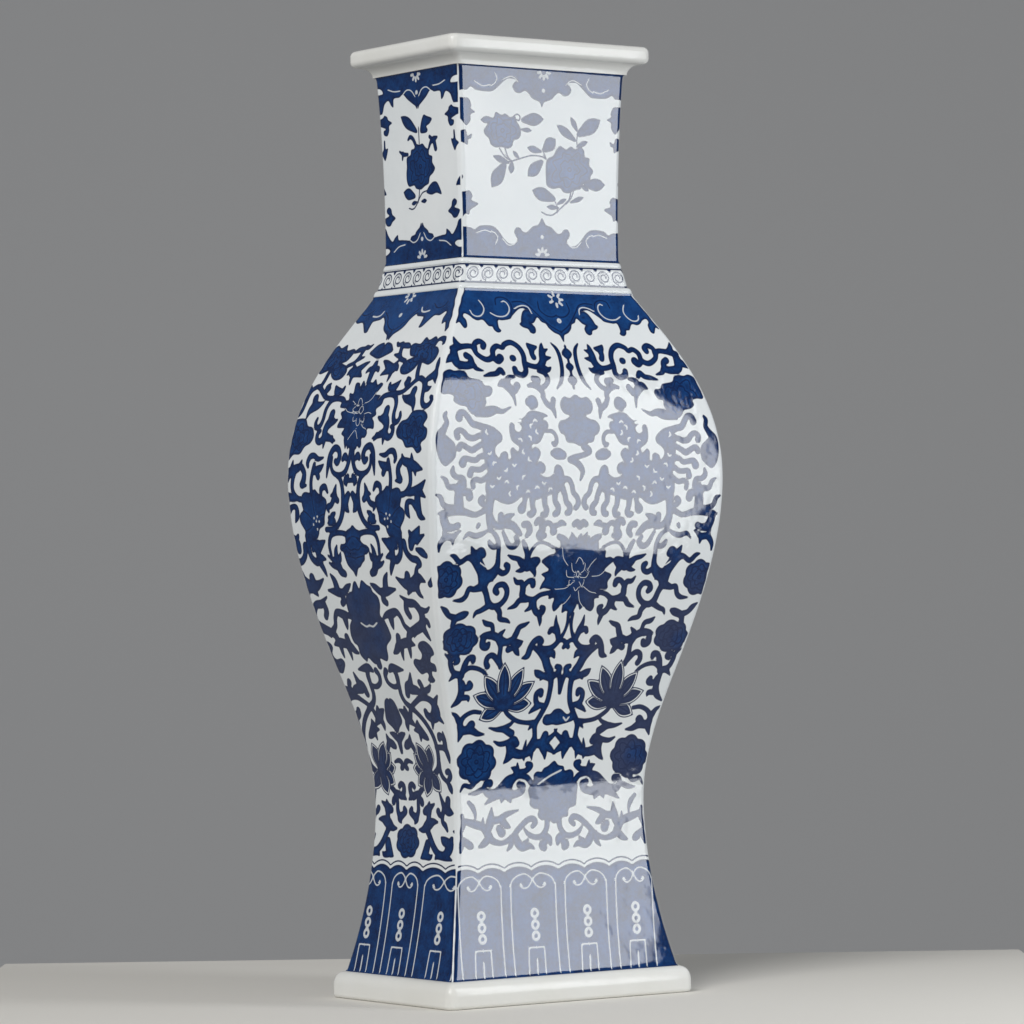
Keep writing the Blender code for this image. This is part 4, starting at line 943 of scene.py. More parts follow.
SIDE_HIGH = (
    (6, 215.6, 2.2, 3, 213.7, 2.4, 1.2, 210, 2.4, 0.6, 205.5, 2.8, 1, 200.5, 3, 3.5, 195.8, 2.6,
     8, 192.9, 2.4, 14, 192.6, 2.2), (7, 199.5, 1.2, 9, 198.3, 3, 10, 196, 3.6, 12.6, 195.3, 0.9),
    (7.8, 196, 2.6, 11.5, 197.5, 2), (6, 211.3, 0.8, 7, 208, 3, 6, 205.6, 3, 4.9, 204.8, 2.8),
    (7.5, 207.2, 3, 10, 206.9, 0.9), (7.2, 206.5, 3, 9.4, 203.2, 2.6, 12.3, 202, 2.6, 11.5, 200, 0.9),
    (-3.4, 207, 3, -1.2, 204, 4.4, -1.8, 201.5, 3.4, -3.6, 199.8, 0.9),
    (-2.9, 214.8, 2, -1.2, 213, 3.2, -1.9, 211.2, 1.4), (-5, 213, 2, -1, 213, 2),
    (13.4, 214.8, 0.8, 12.9, 219, 2.2, 12, 224, 2.8, 9.5, 226.9, 3, 6.2, 226.3, 2.8, 4.6, 223.5, 2.8,
     5.8, 220.9, 3, 7.4, 221.4, 2.4),
    (10.2, 223, 1.4, 10.5, 220, 1.8, 9.3, 217.4, 2, 6.5, 215.8, 2.2, 2.5, 215.6, 2.2, -0.8, 217, 2.4,
     -2.7, 220.5, 2.4, -3.4, 224, 2.6, -4, 229, 4), (-0.9, 222.3, 2.4, 0.5, 223.2, 3.2, 1.9, 222, 2),
    (25, 209, 2.4, 25.4, 213, 2.2, 24.7, 217, 2.2, 23.5, 220.5, 2.2),
    (16.5, 220.2, 0.8, 19, 218.7, 3, 21.5, 218, 3.5, 24, 217.2, 2.4), (21.5, 217.5, 3, 20, 215.2, 2.8),
    (17, 223.2, 0.8, 21, 222.8, 2.2, 24.4, 224.3, 2.4, 27.4, 223.9, 2.6, 28.9, 221.4, 2.4,
     28.3, 219.8, 1.6), (12.5, 208.5, 1.4, 14.5, 210.8, 2.6, 17.3, 210, 2.6, 17.6, 208, 2),
    (33.5, 222.6, 0.8, 35, 220, 3, 38, 219, 4, 43, 217.3, 4.4, 48.5, 216, 0.9),
    (40.5, 222.6, 0.8, 41, 219.5, 3), (43.6, 213.8, 0.9, 43, 216.5, 3),
    (38, 219, 3, 39.8, 214.5, 2.6, 39.6, 210, 2.4, 36, 206.6, 2.4, 32, 205.8, 2.6),
    (33, 219.5, 3, 31, 217, 3, 31.3, 214, 3.4, 32.6, 212.2, 3.2), (29, 211.8, 0.9, 32, 212, 3),
    (36, 206.6, 2.6, 41, 207, 3.5, 46, 208, 4, 50.5, 211.3, 0.9), (46, 207, 4, 50, 204.5, 0.9),
    (44.5, 206.5, 4, 44.4, 201, 4.4, 45.5, 197, 3.4, 48.5, 195.6, 0.9),
    (43.5, 200.5, 4, 40, 202.8, 2.4, 36.8, 202.4, 2.6, 36.2, 199, 3.2, 37.6, 196.4, 0.9),
    (12, 239.3, 0.8, 14, 238.6, 2.4, 17, 238.5, 4.8, 19.3, 236, 4, 18.8, 232.8, 4, 15, 231.5, 3,
     10.3, 230.2, 0.8), (17.4, 239, 4, 17.4, 242.2, 4), (13.3, 231.2, 3, 11.6, 229.4, 0.9),
    (18.5, 231.5, 3, 18.5, 227.6, 0.9),
    (19, 231.8, 3.6, 22, 230.2, 3, 24.4, 231.2, 2.6, 24.7, 233.8, 2.4, 23, 234.8, 1.6),
    (9, 246, 1.4, 12, 248.3, 2.4, 17, 249, 2.4, 21, 248, 2.4, 23.3, 244.5, 2.4, 23.3, 240, 2.4,
     24.5, 237, 2.6, 27, 236.6, 2.4, 28.4, 238.5, 2.2, 28, 240.4, 1.6),
    (18, 249.3, 2.2, 26, 250, 2.2, 33.5, 255, 2.4, 37, 255, 2.4, 40, 252.5, 2.4, 42, 245, 2.4,
     45, 242.6, 2.4, 48, 243.4, 2.4, 48.9, 245.8, 2, 47.5, 246.6, 1.6),
    (26.5, 247.8, 0.8, 30, 246.5, 3.4, 33.5, 246, 4.8, 36, 244, 3, 37, 241, 0.9),
    (33.2, 246.5, 4, 34, 249.9, 4), (40.3, 254, 3, 41.6, 250.8, 3, 44, 250.2, 2.4, 45.6, 250.9, 0.9),
    (41, 254.8, 3, 44.5, 256.5, 4, 46, 258.6, 3.6, 44.6, 262, 2.4, 44, 264.2, 0.9),
    (45, 256.5, 3, 48.5, 253.8, 3, 50.3, 251.8, 0.9), (33.5, 255, 2.6, 32, 258, 2.6, 31, 262, 2.6),
    (26, 256, 1.6, 27.9, 254.8, 2.4, 27, 253.1, 2.6, 25.6, 254, 2),
    (14, 254, 1.6, 14.8, 252.3, 2.4, 18.5, 252.3, 4, 21.3, 255, 0.9),
    (35.8, 271, 2, 36.8, 273.6, 2, 39.5, 274.2, 2.4, 42, 273, 2.6, 41.8, 271.7, 1.6),
    (6, 274.3, 0.8, 8, 273, 2, 10.5, 273.2, 2.4, 11.5, 271, 2.4, 12.5, 268, 2.4, 14.5, 265.8, 2.2,
     18.5, 264.5, 2), (8.3, 268.2, 0.8, 12, 267.5, 2.6),
    (11.5, 272.5, 2.6, 15, 272.2, 2.8, 17.3, 271.4, 1.6),
    (2.3, 265.5, 0.8, 5, 264.3, 2.6, 8, 262.5, 4, 11.5, 261, 4.6, 14, 261.6, 3.2, 15.6, 260.4, 1.2),
    (11, 262, 3, 13.4, 264.4, 1.6), (4.3, 258.7, 0.9, 7, 260, 3, 10, 260.6, 4),
    (11.5, 260, 3, 11.5, 257.5, 2, 11, 255.4, 0.8), (-2.6, 265.2, 1.4, -2.6, 262, 3, -2.8, 256, 2.4),
    (-3, 262, 2.6, 0, 261.8, 2.4, 1.4, 260.6, 1.2),
)
SIDE_BLOSSOMS = (
    (27, 141.5, 29, 143.6, 33, 144, 36.5, 141.6, 37.3, 138.6, 34.5, 137.3, 33.3, 135, 36, 133.8, 35.8, 131,
     32.6, 131, 32, 129, 33, 127, 30.5, 126, 28, 127, 29.5, 129, 28.5, 130.5, 24.5, 129.8, 22, 132,
     20.7, 134.5, 22.5, 136.3, 26.5, 136, 28.5, 138.5),
    (27.5, 233, 30, 236.5, 34, 237.5, 37, 240.5, 42, 241, 46.5, 240, 48.8, 237.5, 47, 234.4, 50, 232.5,
     50, 229, 46.6, 226.8, 47.5, 224, 44.5, 222.8, 41, 225.3, 36, 225.5, 33, 228.5, 29, 230),
    (18, 271.5, 20, 273, 24.5, 272.5, 26.5, 275.5, 30, 274, 33.5, 275.5, 36, 273.5, 35.5, 270.6, 38.5, 270,
     41.3, 267.5, 41, 264, 38, 261.7, 34, 262.5, 30.5, 263.3, 28, 260, 24, 258, 19.5, 258.5, 17.3, 261.5,
     19.5, 264.5, 24, 266, 20.5, 267.3),
)
SIDE_PATCHES = (
    (-3, 277.4, -0.5, 279, 3, 281, 5, 283, 6.5, 286, 9.3, 288.5, 11, 287.5, 14.5, 287, 16.2, 286.4,
     16.4, 283, 16.4, 281.4, 18.5, 281.4, 21, 284, 24, 286.8, 28, 286.7, 31, 288.4, 32.2, 287.6,
     31.8, 284.8, 33, 282, 35, 282.8, 37, 280, 39, 278.3, 42, 290, 40, 300, 15, 301, -3.5, 300),
    (14, 205.6, 19.7, 208.1, 22.2, 209.8, 24.2, 209.1, 24.9, 207.6, 26, 208.3, 30.1, 208.9, 32.4, 207.5,
     32.4, 204, 31.4, 201.3, 33.4, 200, 34.3, 198, 33.4, 195.6, 30.4, 192.3, 30.9, 190.2, 29.7, 188,
     26.4, 187.3, 23.8, 189, 21.6, 189, 20, 190.8, 19.2, 193, 15.5, 194.8, 15, 198, 13.4, 202.7),
    (-5.3, 118.2, -2, 117.5, 0, 112, 0.3, 108.5, -2.5, 106, -5.2, 103.8, -6, 111),
    (-3, 273.6, -1.5, 274.8, 2, 273.8, 4.5, 271.6, 5.5, 270, 2.5, 268.5, -3, 267, -4, 270.5),
)
SIDE_PEONIES = (
    (-7.2, 167, -9, 170, -11, 169.4, -13, 166, -15, 165.4, -18.4, 163.4, -19, 158, -17.6, 154, -20, 151,
     -21, 147, -20, 143.6, -17.8, 142, -17.4, 138, -14, 135.3, -12, 136.8, -8.5, 134.2, -4.6, 134.3,
     -3.4, 136.6, 1, 135.4, 3, 137.5, 4, 142, 8.7, 145.5, 8.5, 149, 6.8, 153, 4.4, 155.6, 6, 160,
     5.5, 163.3, 2.5, 165.5, 1.5, 167.5, -1, 168.6, -4.5, 170.5),
    (-5.3, 194, -2.8, 192.3, 0, 191.4, 0.5, 190.2, -0.6, 187.7, 1.3, 186, 3.8, 185.2, 5.3, 183.5, 3, 181.8,
     1.2, 181.4, 0.7, 179.3, -1.2, 178.1, -3.3, 176.4, -5.3, 175.6, -7.6, 172.3, -9.1, 174.3, -11.2, 176,
     -12.8, 177.7, -13.7, 180.2, -14.5, 182.7, -16.6, 183.9, -15.8, 186, -13.7, 186.2, -12, 186.8,
     -11.6, 189.3, -10.8, 191.4, -8.7, 192.4, -7, 193),
)
# White dots in the heart of the five-petalled flower
SIDE_DOTS = (20.7, 198.3, 23.2, 197.7, 19.3, 196.2, 21.5, 196.4, 23.8, 195, 20.9, 192.9)
SIDE_CUTS = (
    (11.3, 291.5, 12.5, 289.8, 15, 289.2, 18, 289.6), (-5, 151, -2.5, 150.6, 0.5, 152),
)
SIDE_VEINS = (
    (-10.8, 186.8, -7.8, 188.9, -5.3, 189.3, -2, 188.5, -0.4, 187.3),
    (-6, 184, -2.8, 183.6, -0.3, 185.2, 3, 184.3), (-6, 180, -2.8, 180.6, 0.5, 181),
    (22.8, 199.5, 24, 204, 24.9, 207.6), (24.5, 197, 28, 199.5, 31.5, 201.2),
    (24.5, 194.5, 27.5, 193, 30.5, 192.2), (19.5, 198, 17, 199, 14.3, 199.3),
    (19.5, 293, 23, 290.8, 27, 291, 29, 293.3), (-3, 281, 0.5, 282.5, 3.5, 285, 6, 288.5, 9.5, 291),
)
# The full lotus, and the lines in it
SIDE_OPEN_LOTUS = (
    -12.4, 255.4, -9.6, 255.4, -8.2, 253.6, -7.2, 256.4, -5.2, 254.8, -4.4, 253.8, -2.8, 255.6, 0.4, 255.2,
    2, 256.6, 4.6, 254, 6.8, 254.8, 8.8, 253.8, 6.8, 251.2, 5.2, 249.6, 9.6, 248.8, 8.2, 247.3, 12.4, 247.2,
    12.4, 244.8, 9, 242.8, 10, 240.4, 7.6, 239, 9.4, 237.2, 10, 234.4, 7.6, 234.6, 5, 234.4, 5.6, 232.4,
    4.4, 230.8, 2, 230.6, 2.4, 227.6, 1.2, 226.4, -0.6, 227.4, -1.6, 226, -5.6, 226.2, -7, 227, -7.8, 226.2,
    -8.8, 228.2, -9.6, 226.4, -11.2, 230, -11.4, 231.6, -13.8, 233.2, -12.2, 235.4, -17.8, 236,
    -16.8, 238.8, -15.6, 240, -17.4, 242.4, -15.2, 243.2, -14.2, 244.2, -19, 245, -18, 247.6, -13.8, 248,
    -14.8, 251, -11.8, 250.8,
)
SIDE_OPEN_LINES = (
    (-14.4, 244, -12, 242.6, -6, 241.6, -3.6, 241.8),
    (-5.4, 242.2, -7.2, 242.4, -8.8, 243.4, -7.2, 244.6, -4.8, 245),
    (-0.4, 243, -2, 244.8, -3.6, 243, -2, 241.2, -0.4, 243),
    (-5.8, 246, -5.6, 248, -4.4, 248.2, -3, 246.8, -2.8, 246), (-0.2, 246, 2, 246.6, 4, 248, 5.6, 250.4),
    (1.2, 241.2, 3.6, 241.6, 5.6, 241.2), (-7, 239.6, -6.6, 238.2, -4.8, 238.4),
    (-4.2, 238.8, -4, 237.2, -2.6, 236, -1.4, 237, -1.6, 238.8), (-0.4, 238, 1.6, 237.8, 1.4, 239.2),
    (0.4, 236.4, 2, 235.2, 4, 234.6), (-4.4, 234, -6.4, 232.2, -8.2, 230.4),
    (-3.2, 234, -2.4, 232.8, -1.4, 230.8), (-10, 247.2, -8, 246, -6.4, 245.2),
)
# How far the paint ran out on the narrow faces, in millimetres
SIDE_SWELL = 0.17
# Base of the lotus seen from the side, then its petals' tips
SIDE_LOTUS = (13, 87, 16, 97.3, 19.5, 79.5, 2.8, 88.2, 4.6, 93.8, 4.8, 81.6, 7.6, 98.2, 10, 77.5)


def side_axis(v):
    """Where the ornament's middle line lies at each height of a narrow face: it wanders a little."""
    return np.interp(v, (0, 57, 112, 150, 185, 222, 243, 296), (-4, -4.5, -5.4, -5.2, -6, -4.4, -3.2, -3))


def paint_side(u, v):
    """The narrow face of the body: flowers and leaf scrolls up the middle, between two borders."""
    painting = Painting(u, v, side_axis)
    for mirror in (False, True):
        for strokes in (SIDE_LOW, SIDE_MIDDLE, SIDE_HIGH):
            for numbers in strokes:
                painting.stroke(numbers, mirror)
        for numbers in SIDE_PATCHES:
            painting.patch(numbers, mirror)
        for numbers in SIDE_BLOSSOMS:
            blossom(painting, numbers, mirror)
        for numbers in SIDE_CUTS:
            painting.thin("cut", numbers, mirror)
        for numbers in SIDE_VEINS:
            painting.thin("vein", numbers, mirror)
        for u_dot, v_dot in painting.knots(SIDE_DOTS, mirror, 2):
            painting.thin("cut", loop(u_dot, v_dot, 0.2, 0.2, 4), closed=True)
        base, *tips = painting.knots(SIDE_LOTUS, mirror, 2)
        lotus(painting, base, tips)
    for numbers in SIDE_PEONIES:
        painting.patch(numbers)
    rosette(painting, -4.5, 57, 16, 13.5, 7, 0.3)
    open_lotus(painting, SIDE_OPEN_LOTUS, SIDE_OPEN_LINES)
    posy(painting, -2.5, 298.4, 2.6, (0, 40, 140, 180, 225, 270, 315))
    painting.thin("cut", loop(-2.8, 288.8, 0.5, 0.5, 6), closed=True, fine=0.65)
    painting.swell(SIDE_SWELL)
    foot_border(painting, (-41, -16.3, 7.8, 41), 46, 0)
    return painting


# Painted ornament: the neck and the shoulder band


NECK_FRONT_BORDERS = (
    (0.5, 66, -1.5, 67.2, -5, 68.4, -7, 70.3, -9, 71.4, -11.5, 70.3, -14, 70.7, -15.5, 72.8, -14.6, 74.6,
     -13.5, 75.6, -16, 76.2, -19, 75.6, -24, 71.6, -27, 70.2, -34, 70.4, -37, 71.7, -38.8, 70.4, -41, 70.3,
     -44.5, 71, -46, 84, 0.5, 84.5),
    (0.4, 16.7, -2, 15, -5, 14, -8, 11.6, -10, 11.8, -11.5, 13.2, -13.5, 13.4, -14.6, 11.5, -14, 9.8,
     -13, 8.2, -15, 6.5, -17.5, 6.6, -20, 8.5, -25, 13.3, -32, 13.5, -35, 11.8, -37, 12.5, -40, 12.8,
     -44.5, 12, -46, -4, 0.4, -4.5),
    (-44, 66.5, -41, 67, -38, 66.7, -36.6, 64, -36.8, 62.6, -34.6, 61.2, -36.8, 60, -37, 57.5, -39, 55.3,
     -41, 57, -44, 61),
    (-44, 52, -39.7, 53.6, -38.4, 51.2, -36.3, 51.9, -36.6, 50, -38, 49.4, -38.5, 47.2, -40.5, 48,
     -44, 49.5),
    (-44, 26, -40, 27.6, -37.5, 28, -36, 26, -36.3, 24, -33, 22.6, -37, 20, -38, 17.8, -40, 18, -44, 13),
    (-44, 35, -41.5, 35, -40.6, 33.8, -41.5, 32.5, -44, 32.5),
)
NECK_FRONT_FLOWERS = (
    (-30, 54, -28.5, 56, -27.5, 58, -25, 59.5, -24, 61.7, -21, 60.7, -19, 61.3, -16.5, 60, -14, 60.5,
     -13, 58.3, -11.3, 56, -10.8, 53, -12, 51, -14.5, 50, -15.5, 47.5, -18, 46.5, -21, 47, -24, 46.8,
     -26.5, 48, -27.5, 50.3, -29.5, 52),
    (2.3, 41, 3.5, 43.5, 6, 44.5, 8, 47.5, 10, 49, 13, 47.7, 15.5, 49, 18, 48, 20.5, 49.3, 22.5, 47.5,
     23, 45, 25.3, 44.3, 25.3, 41.5, 27.4, 39, 26, 36.5, 25.5, 34.5, 22.5, 33.5, 20.5, 31, 17.5, 30.3,
     14.5, 29, 11.5, 29.3, 9.5, 31, 6, 30.5, 3, 31.5, 2.3, 34),
)
# Leaves as base, tip and width
NECK_FRONT_LEAVES = (
    (-10.5, 59, 1, 60, 5), (1, 46.5, 7.3, 51.8, 5.4), (0, 46, -7.5, 47.5, 2.8), (0.5, 42.2, -7.2, 35.4, 5),
    (18, 51.5, 8, 57.8, 3.6), (19, 55.5, 15.3, 61.6, 2.4), (19, 54, 31, 61, 6), (18.5, 49, 24.5, 51.5, 2.2),
    (22.5, 33, 33.6, 33.3, 5), (20.5, 32.8, 25, 30.3, 1.8), (7, 26, -5, 29.5, 5.4), (15, 25, 22.3, 27.6, 2),
    (9, 22.5, 2.5, 22.8, 2), (8, 24, 13, 26.5, 1.8), (-19, 40.3, -26, 30, 5.8),
    (-17, 40.5, -25.3, 43.2, 2.6), (-11.5, 42.3, -15, 45.8, 1.8), (-15.5, 41.3, -16, 36, 2.8),
    (-25, 58.5, -31.8, 58, 2.8), (-11, 55, -5, 54.8, 1.8),
)
NECK_FRONT_STEMS = (
    (-20, 40, -10, 43, -5, 44.2, 0, 44, 2.5, 43), (-22, 46.5, -19, 43, -15.5, 41.3),
    (-19, 46.5, -17.5, 43, -15.5, 41.3), (0, 20.3, 3, 19.3, 6.5, 19.8, 12.5, 24.5, 14.5, 26.5, 15.5, 30),
    (17, 30.5, 15.5, 27, 13, 24.5), (8, 20.5, 8, 23, 6.5, 26), (19, 49, 18.6, 52, 19.6, 55.5),
    (0.5, 47, 1.5, 45, 2.5, 43), (-13.5, 59, -11.8, 58.8, -11.4, 60.4, -12.8, 61.3, -14.4, 60.6),
)
NECK_SIDE_BORDERS = (
    (0, 66.2, -2, 66.6, -7, 69.5, -10.2, 71.9, -13, 71, -16, 71, -17.5, 70.4, -17.9, 67.4, -19.5, 68,
     -21.5, 70.3, -24.5, 69, -26, 66, -27.5, 65, -33, 66, -33, 73, -28, 73.5, -25.4, 73.9, -27, 75.8,
     -33, 77.5, -33, 84, 0, 84.5),
    (0, 15.4, -2, 14.6, -4.5, 13, -5.3, 12, -8, 11.3, -9.3, 9.8, -12, 10, -15, 10.3, -17.6, 10.6,
     -18.2, 12.7, -20.5, 11.6, -22.5, 10.2, -25.5, 13, -27.5, 16, -32, 16, -32, 8, -26, 7.2, -24.4, 6,
     -27, 4.5, -32, 3.5, -32, -4, 0, -4.5),
    (-26.5, 63.5, -25, 64.4, -23, 63.6, -22.3, 62.3, -19.6, 60.8, -21.8, 59.6, -22, 57.6, -23.5, 55.5,
     -26, 56, -26.3, 57.8, -24.7, 58.6, -30, 60.5, -30, 62.5),
    (-28.7, 48.2, -27, 50, -26.5, 53.5, -25.5, 53.5, -25.3, 50.3, -23.6, 50.2, -24.3, 47.8, -26, 45,
     -27.6, 46.8), (-30, 35, -27.5, 33, -26, 30.5, -28, 30.3, -30, 30.3),
    (-26.2, 24, -24.5, 25, -22.7, 24, -22, 21.8, -19.6, 20, -22, 18.4, -23.8, 16.8, -26.5, 17.2, -28, 20,
     -24.6, 21.3, -26, 22.5),
)
NECK_SIDE_FLOWER = (
    (-10.5, 38, -10, 41, -9.8, 44.8, -7, 46, -6.3, 48, -4, 48.5, -3, 50.3, 0, 49.8, 2.5, 50, 4.5, 48.3,
     6.8, 47, 7, 45, 9.3, 44, 9.2, 41.5, 11, 39, 9.6, 37, 7, 35.5, 6, 32.8, 3, 31.8, 0, 30.6, -3.5, 31.3,
     -5, 32.7, -8.5, 32.5, -10.2, 34.5),
    (1.2, 54.7, 1.8, 58.5, 4, 62, 6.5, 61.4, 10.2, 60, 8.5, 58, 6, 57, 6.8, 55.5, 5.5, 54.3),
    (4, 29.5, 6.5, 32, 9.5, 33.3, 12.5, 32.5, 15.3, 27.6, 11.5, 28.3, 8, 27.8, 5, 28.5),
)
NECK_SIDE_LEAVES = (
    (-1.3, 55.3, -12.8, 62.8, 4.6), (-4.3, 28, -13, 30.5, 4.6), (-3, 25.6, -7.3, 25, 1.8),
    (0, 25.6, 4.3, 25.7, 1.8),
)
NECK_SIDE_STROKES = (
    (-3, 50.3, 2, -4.5, 52.5, 2, -6.5, 53.5, 2, -8.2, 52.5, 1.2),
    (6.5, 47, 1.2, 8.5, 50, 2, 10.5, 51, 3, 13.3, 51.8, 1.2), (11, 50.5, 2.6, 12, 47, 2.4),
    (10, 51, 2, 7.9, 52.4, 1.8), (-9, 46.3, 1.6, -12, 46.6, 2, -14.9, 48, 1), (-12.5, 47, 2, -13, 44.4, 1),
)
NECK_SIDE_STEMS = (
    (-9, 23.3, -6.5, 22.8, -4, 24, 0.5, 28.8, 4, 29.8), (-1, 31.5, -1.5, 28, -2.5, 25.5), (0, 57, 0, 50),
)
NECK_FRONT_CUTS = (
    (-20.5, 75.6, -17, 77, -14.5, 76.6, -13, 75.3), (-20.5, 8.2, -18, 6, -15.5, 6, -13.4, 7.4),
    (-26.5, 11.4, -24.3, 10.4, -23.2, 8.5, -24.2, 6.4), (-26.5, 72.6, -24.5, 74, -23.6, 76, -24.6, 78),
    (-35, 74, -31, 72.4, -27, 73), (-34, 10.5, -30, 11.6, -27, 11),
)
NECK_SIDE_CUTS = (
    (-21, 75, -17, 73.9, -12.5, 73.7), (-21, 5.6, -17.5, 7.5, -13, 8.1),
    (-11, 71.5, -7.5, 73.5, -4, 73, -1.5, 70.5), (-9.5, 10, -6.5, 8.6, -3.5, 9.5, -1.5, 12),
)


def white_posy(painting, middle, level, side):
    """Half a small flower and a dot left white at the middle of a border, opening upwards or downwards."""
    posy(painting, middle, level - side * 0.6, 2.4, np.array((10, 50, 90, 130, 170)) * side)
    painting.thin("cut", loop(middle, level + side * 7.4, 0.4, 0.4, 6), closed=True, fine=0.8)


def paint_neck_front(u, v):
    """The broad face of the neck: a spray with two blossoms between two cloud-shaped borders."""
    painting = Painting(u, v)
    for mirror in (False, True):
        for numbers in NECK_FRONT_BORDERS:
            painting.patch(numbers, mirror)
        for numbers in NECK_FRONT_CUTS:
            painting.thin("cut", numbers, mirror, fine=1.6)
    for numbers in NECK_FRONT_FLOWERS:
        blossom(painting, numbers)
    for a, b, c, d, width in NECK_FRONT_LEAVES:
        leaf(painting, (a, b), (c, d), width)
    for numbers in NECK_FRONT_STEMS:
        painting.thin("line", numbers)
    white_posy(painting, 0, 2.4, 1)
    white_posy(painting, 0.8, 79.4, -1)
    return painting


def paint_neck_side(u, v):
    """The narrow face of the neck: one blossom on its stem between the same borders."""
    painting = Painting(u, v)
    for mirror in (False, True):
        for numbers in NECK_SIDE_BORDERS:
            painting.patch(numbers, mirror)
        for numbers in NECK_SIDE_CUTS:
            painting.thin("cut", numbers, mirror, fine=1.6)
    blossom(painting, NECK_SIDE_FLOWER[0])
    for numbers in NECK_SIDE_FLOWER[1:]:
        painting.patch(numbers)
    for numbers in NECK_SIDE_STROKES:
        painting.stroke(numbers)
    for a, b, c, d, width in NECK_SIDE_LEAVES:
        leaf(painting, (a, b), (c, d), width)
    for numbers in NECK_SIDE_STEMS:
        painting.thin("line", numbers)
    white_posy(painting, 0, 2.3, 1)
    white_posy(painting, 0, 79.4, -1)
    return painting


def paint_band(mesh, profile, path, low, high):
    """The shoulder band: spirals end to end round the vase, between two blue lines."""
    points = moulding_points(profile, path)
    steps = np.linalg.norm(np.diff(points[:, 0], axis=0, append=points[:1, 0]), axis=1)
    along = (np.cumsum(steps) - steps) / MM
    height = (points[..., 2] - points[..., 2].min()) / MM
    height[:, -2:] = -FAR
    painting = Painting(along[:, None], height)
    length = steps.sum() / MM
    pitch = 8.0
    gap = 0.6
    half_width = 3.6
    count = round(length / pitch)
    middle = (low + high) / 2
    points_each = 20
    turn = np.linspace(-0.6 * np.pi, -4.0 * np.pi, points_each)
    reach = np.linspace(1, 0.25, points_each)
    rise = (high - low - 2 * gap) / 2 * reach * np.sin(turn)
    spiral = np.stack([half_width * reach * np.cos(turn), middle + rise], axis=-1)
    for k in range(count):
        place = length * (k + 0.5) / count
        painting.thin("line", shifted(spiral, place), fine=1.15)
        painting.patch((place + 2.9, high, place + 4, high - 1.7, place + 5.1, high))
        painting.patch((place + 3.9, low, place + 4.5, low + 1, place + 5.1, low))
    edge_width = 0.7
    for level in (low, high):
        across = np.array([(-2, level), (length / 2, level), (length + 2, level)])
        painting.stroke(np.column_stack([across, np.full(3, edge_width)]))
    painting.store(mesh, len(along), len(profile))


BODY_PAINTERS = (
    paint_side,
    paint_front,
)
NECK_PAINTERS = (
    paint_neck_side,
    paint_neck_front,
)


# Making the pieces


def shared_finish(scene, maker):
    """The finish that a maker makes, made the first time that it is asked for."""
    name = "vase_" + maker.__name__
    return bpy.data.materials.get(name) or maker(scene.vase_finish, name)


def joint_height(lower, upper):
    """Middle of the line of slip between two CAD nodes, where the glaze runs over it."""
    return (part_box(lower)[1].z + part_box(upper)[0].z) / 2


def make_walls(scene, part, wall, grid, painters):
    """Four slabs round the body or the neck. Opposite slabs carry the same ornament."""
    under, over = {"body": ("foot_plinth", "shoulder_band"), "neck": ("shoulder_band", "rim_plate")}[part]
    levels = joint_height(under, f"{part}_front_slab"), joint_height(f"{part}_front_slab", over)
    broad = wall_profile(f"{part}_front_slab", 1)
    narrow = wall_profile(f"{part}_left_slab", 0)
    paint = shared_finish(scene, painted_glaze)
    for side, degrees in SIDES:
        face, span = (broad, narrow) if side in ("front", "back") else (narrow, broad)
        slab = Slab(face, span, *levels, wall, scene.vase_sizes.arris, *grid)
        name = f"{part}_{side}"
        mesh = slab.mesh(name, degrees)
        across = slab.across() / MM
        ornament = painters[side in ("front", "back")](across, slab.v[:, None] / MM)
        ornament.trim(np.abs(across[:, :1]) - np.abs(across) - bare_strip(scene, part, slab.v[:, None] / MM))
        ornament.store(mesh, len(slab.z), len(slab.turn) + 2)
        add_piece(name, mesh, paint, [f"{part}_{side}_slab"])


def bare_strip(scene, part, v):
    """Width in millimetres of the wavy white strip along an arris: a hair at the foot and on the neck."""
    border_top = 46
    widening = 12
    hair = 0.25
    wide = np.clip((v - border_top) / widening, 0, 1) if part == "body" else 0 * v
    wave = 1 + 0.15 * np.sin(0.41 * v) + 0.12 * np.sin(1.07 * v + 1)
    return scene.vase_sizes.bare_arris / MM * (hair + (1 - hair) * wide) * wave


def half_sizes(node):
    """Half width and half depth of a CAD node."""
    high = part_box(node)[1]
    return high.x, high.y


def slab_reach(part, end):
    """Half width and half depth of the body or the neck at its lowest (0) or highest (-1) level."""
    return wall_profile(f"{part}_left_slab", 0)[1][end], wall_profile(f"{part}_front_slab", 1)[1][end]


def ring_mesh(name, profile, path):
    """A moulding's closed mesh and its bake map: U runs round the profile, V along the path."""
    points = moulding_points(profile, path)
    mesh = grid_mesh(name, points, closed_rows=True, caps=False)
    across = np.linspace(MAP_MARGIN, 1 - MAP_MARGIN, points.shape[1] + 1)
    along = np.linspace(MAP_MARGIN, 1 - MAP_MARGIN, points.shape[0] + 1)
    bake_map(mesh, across, along, caps=False)
    return mesh


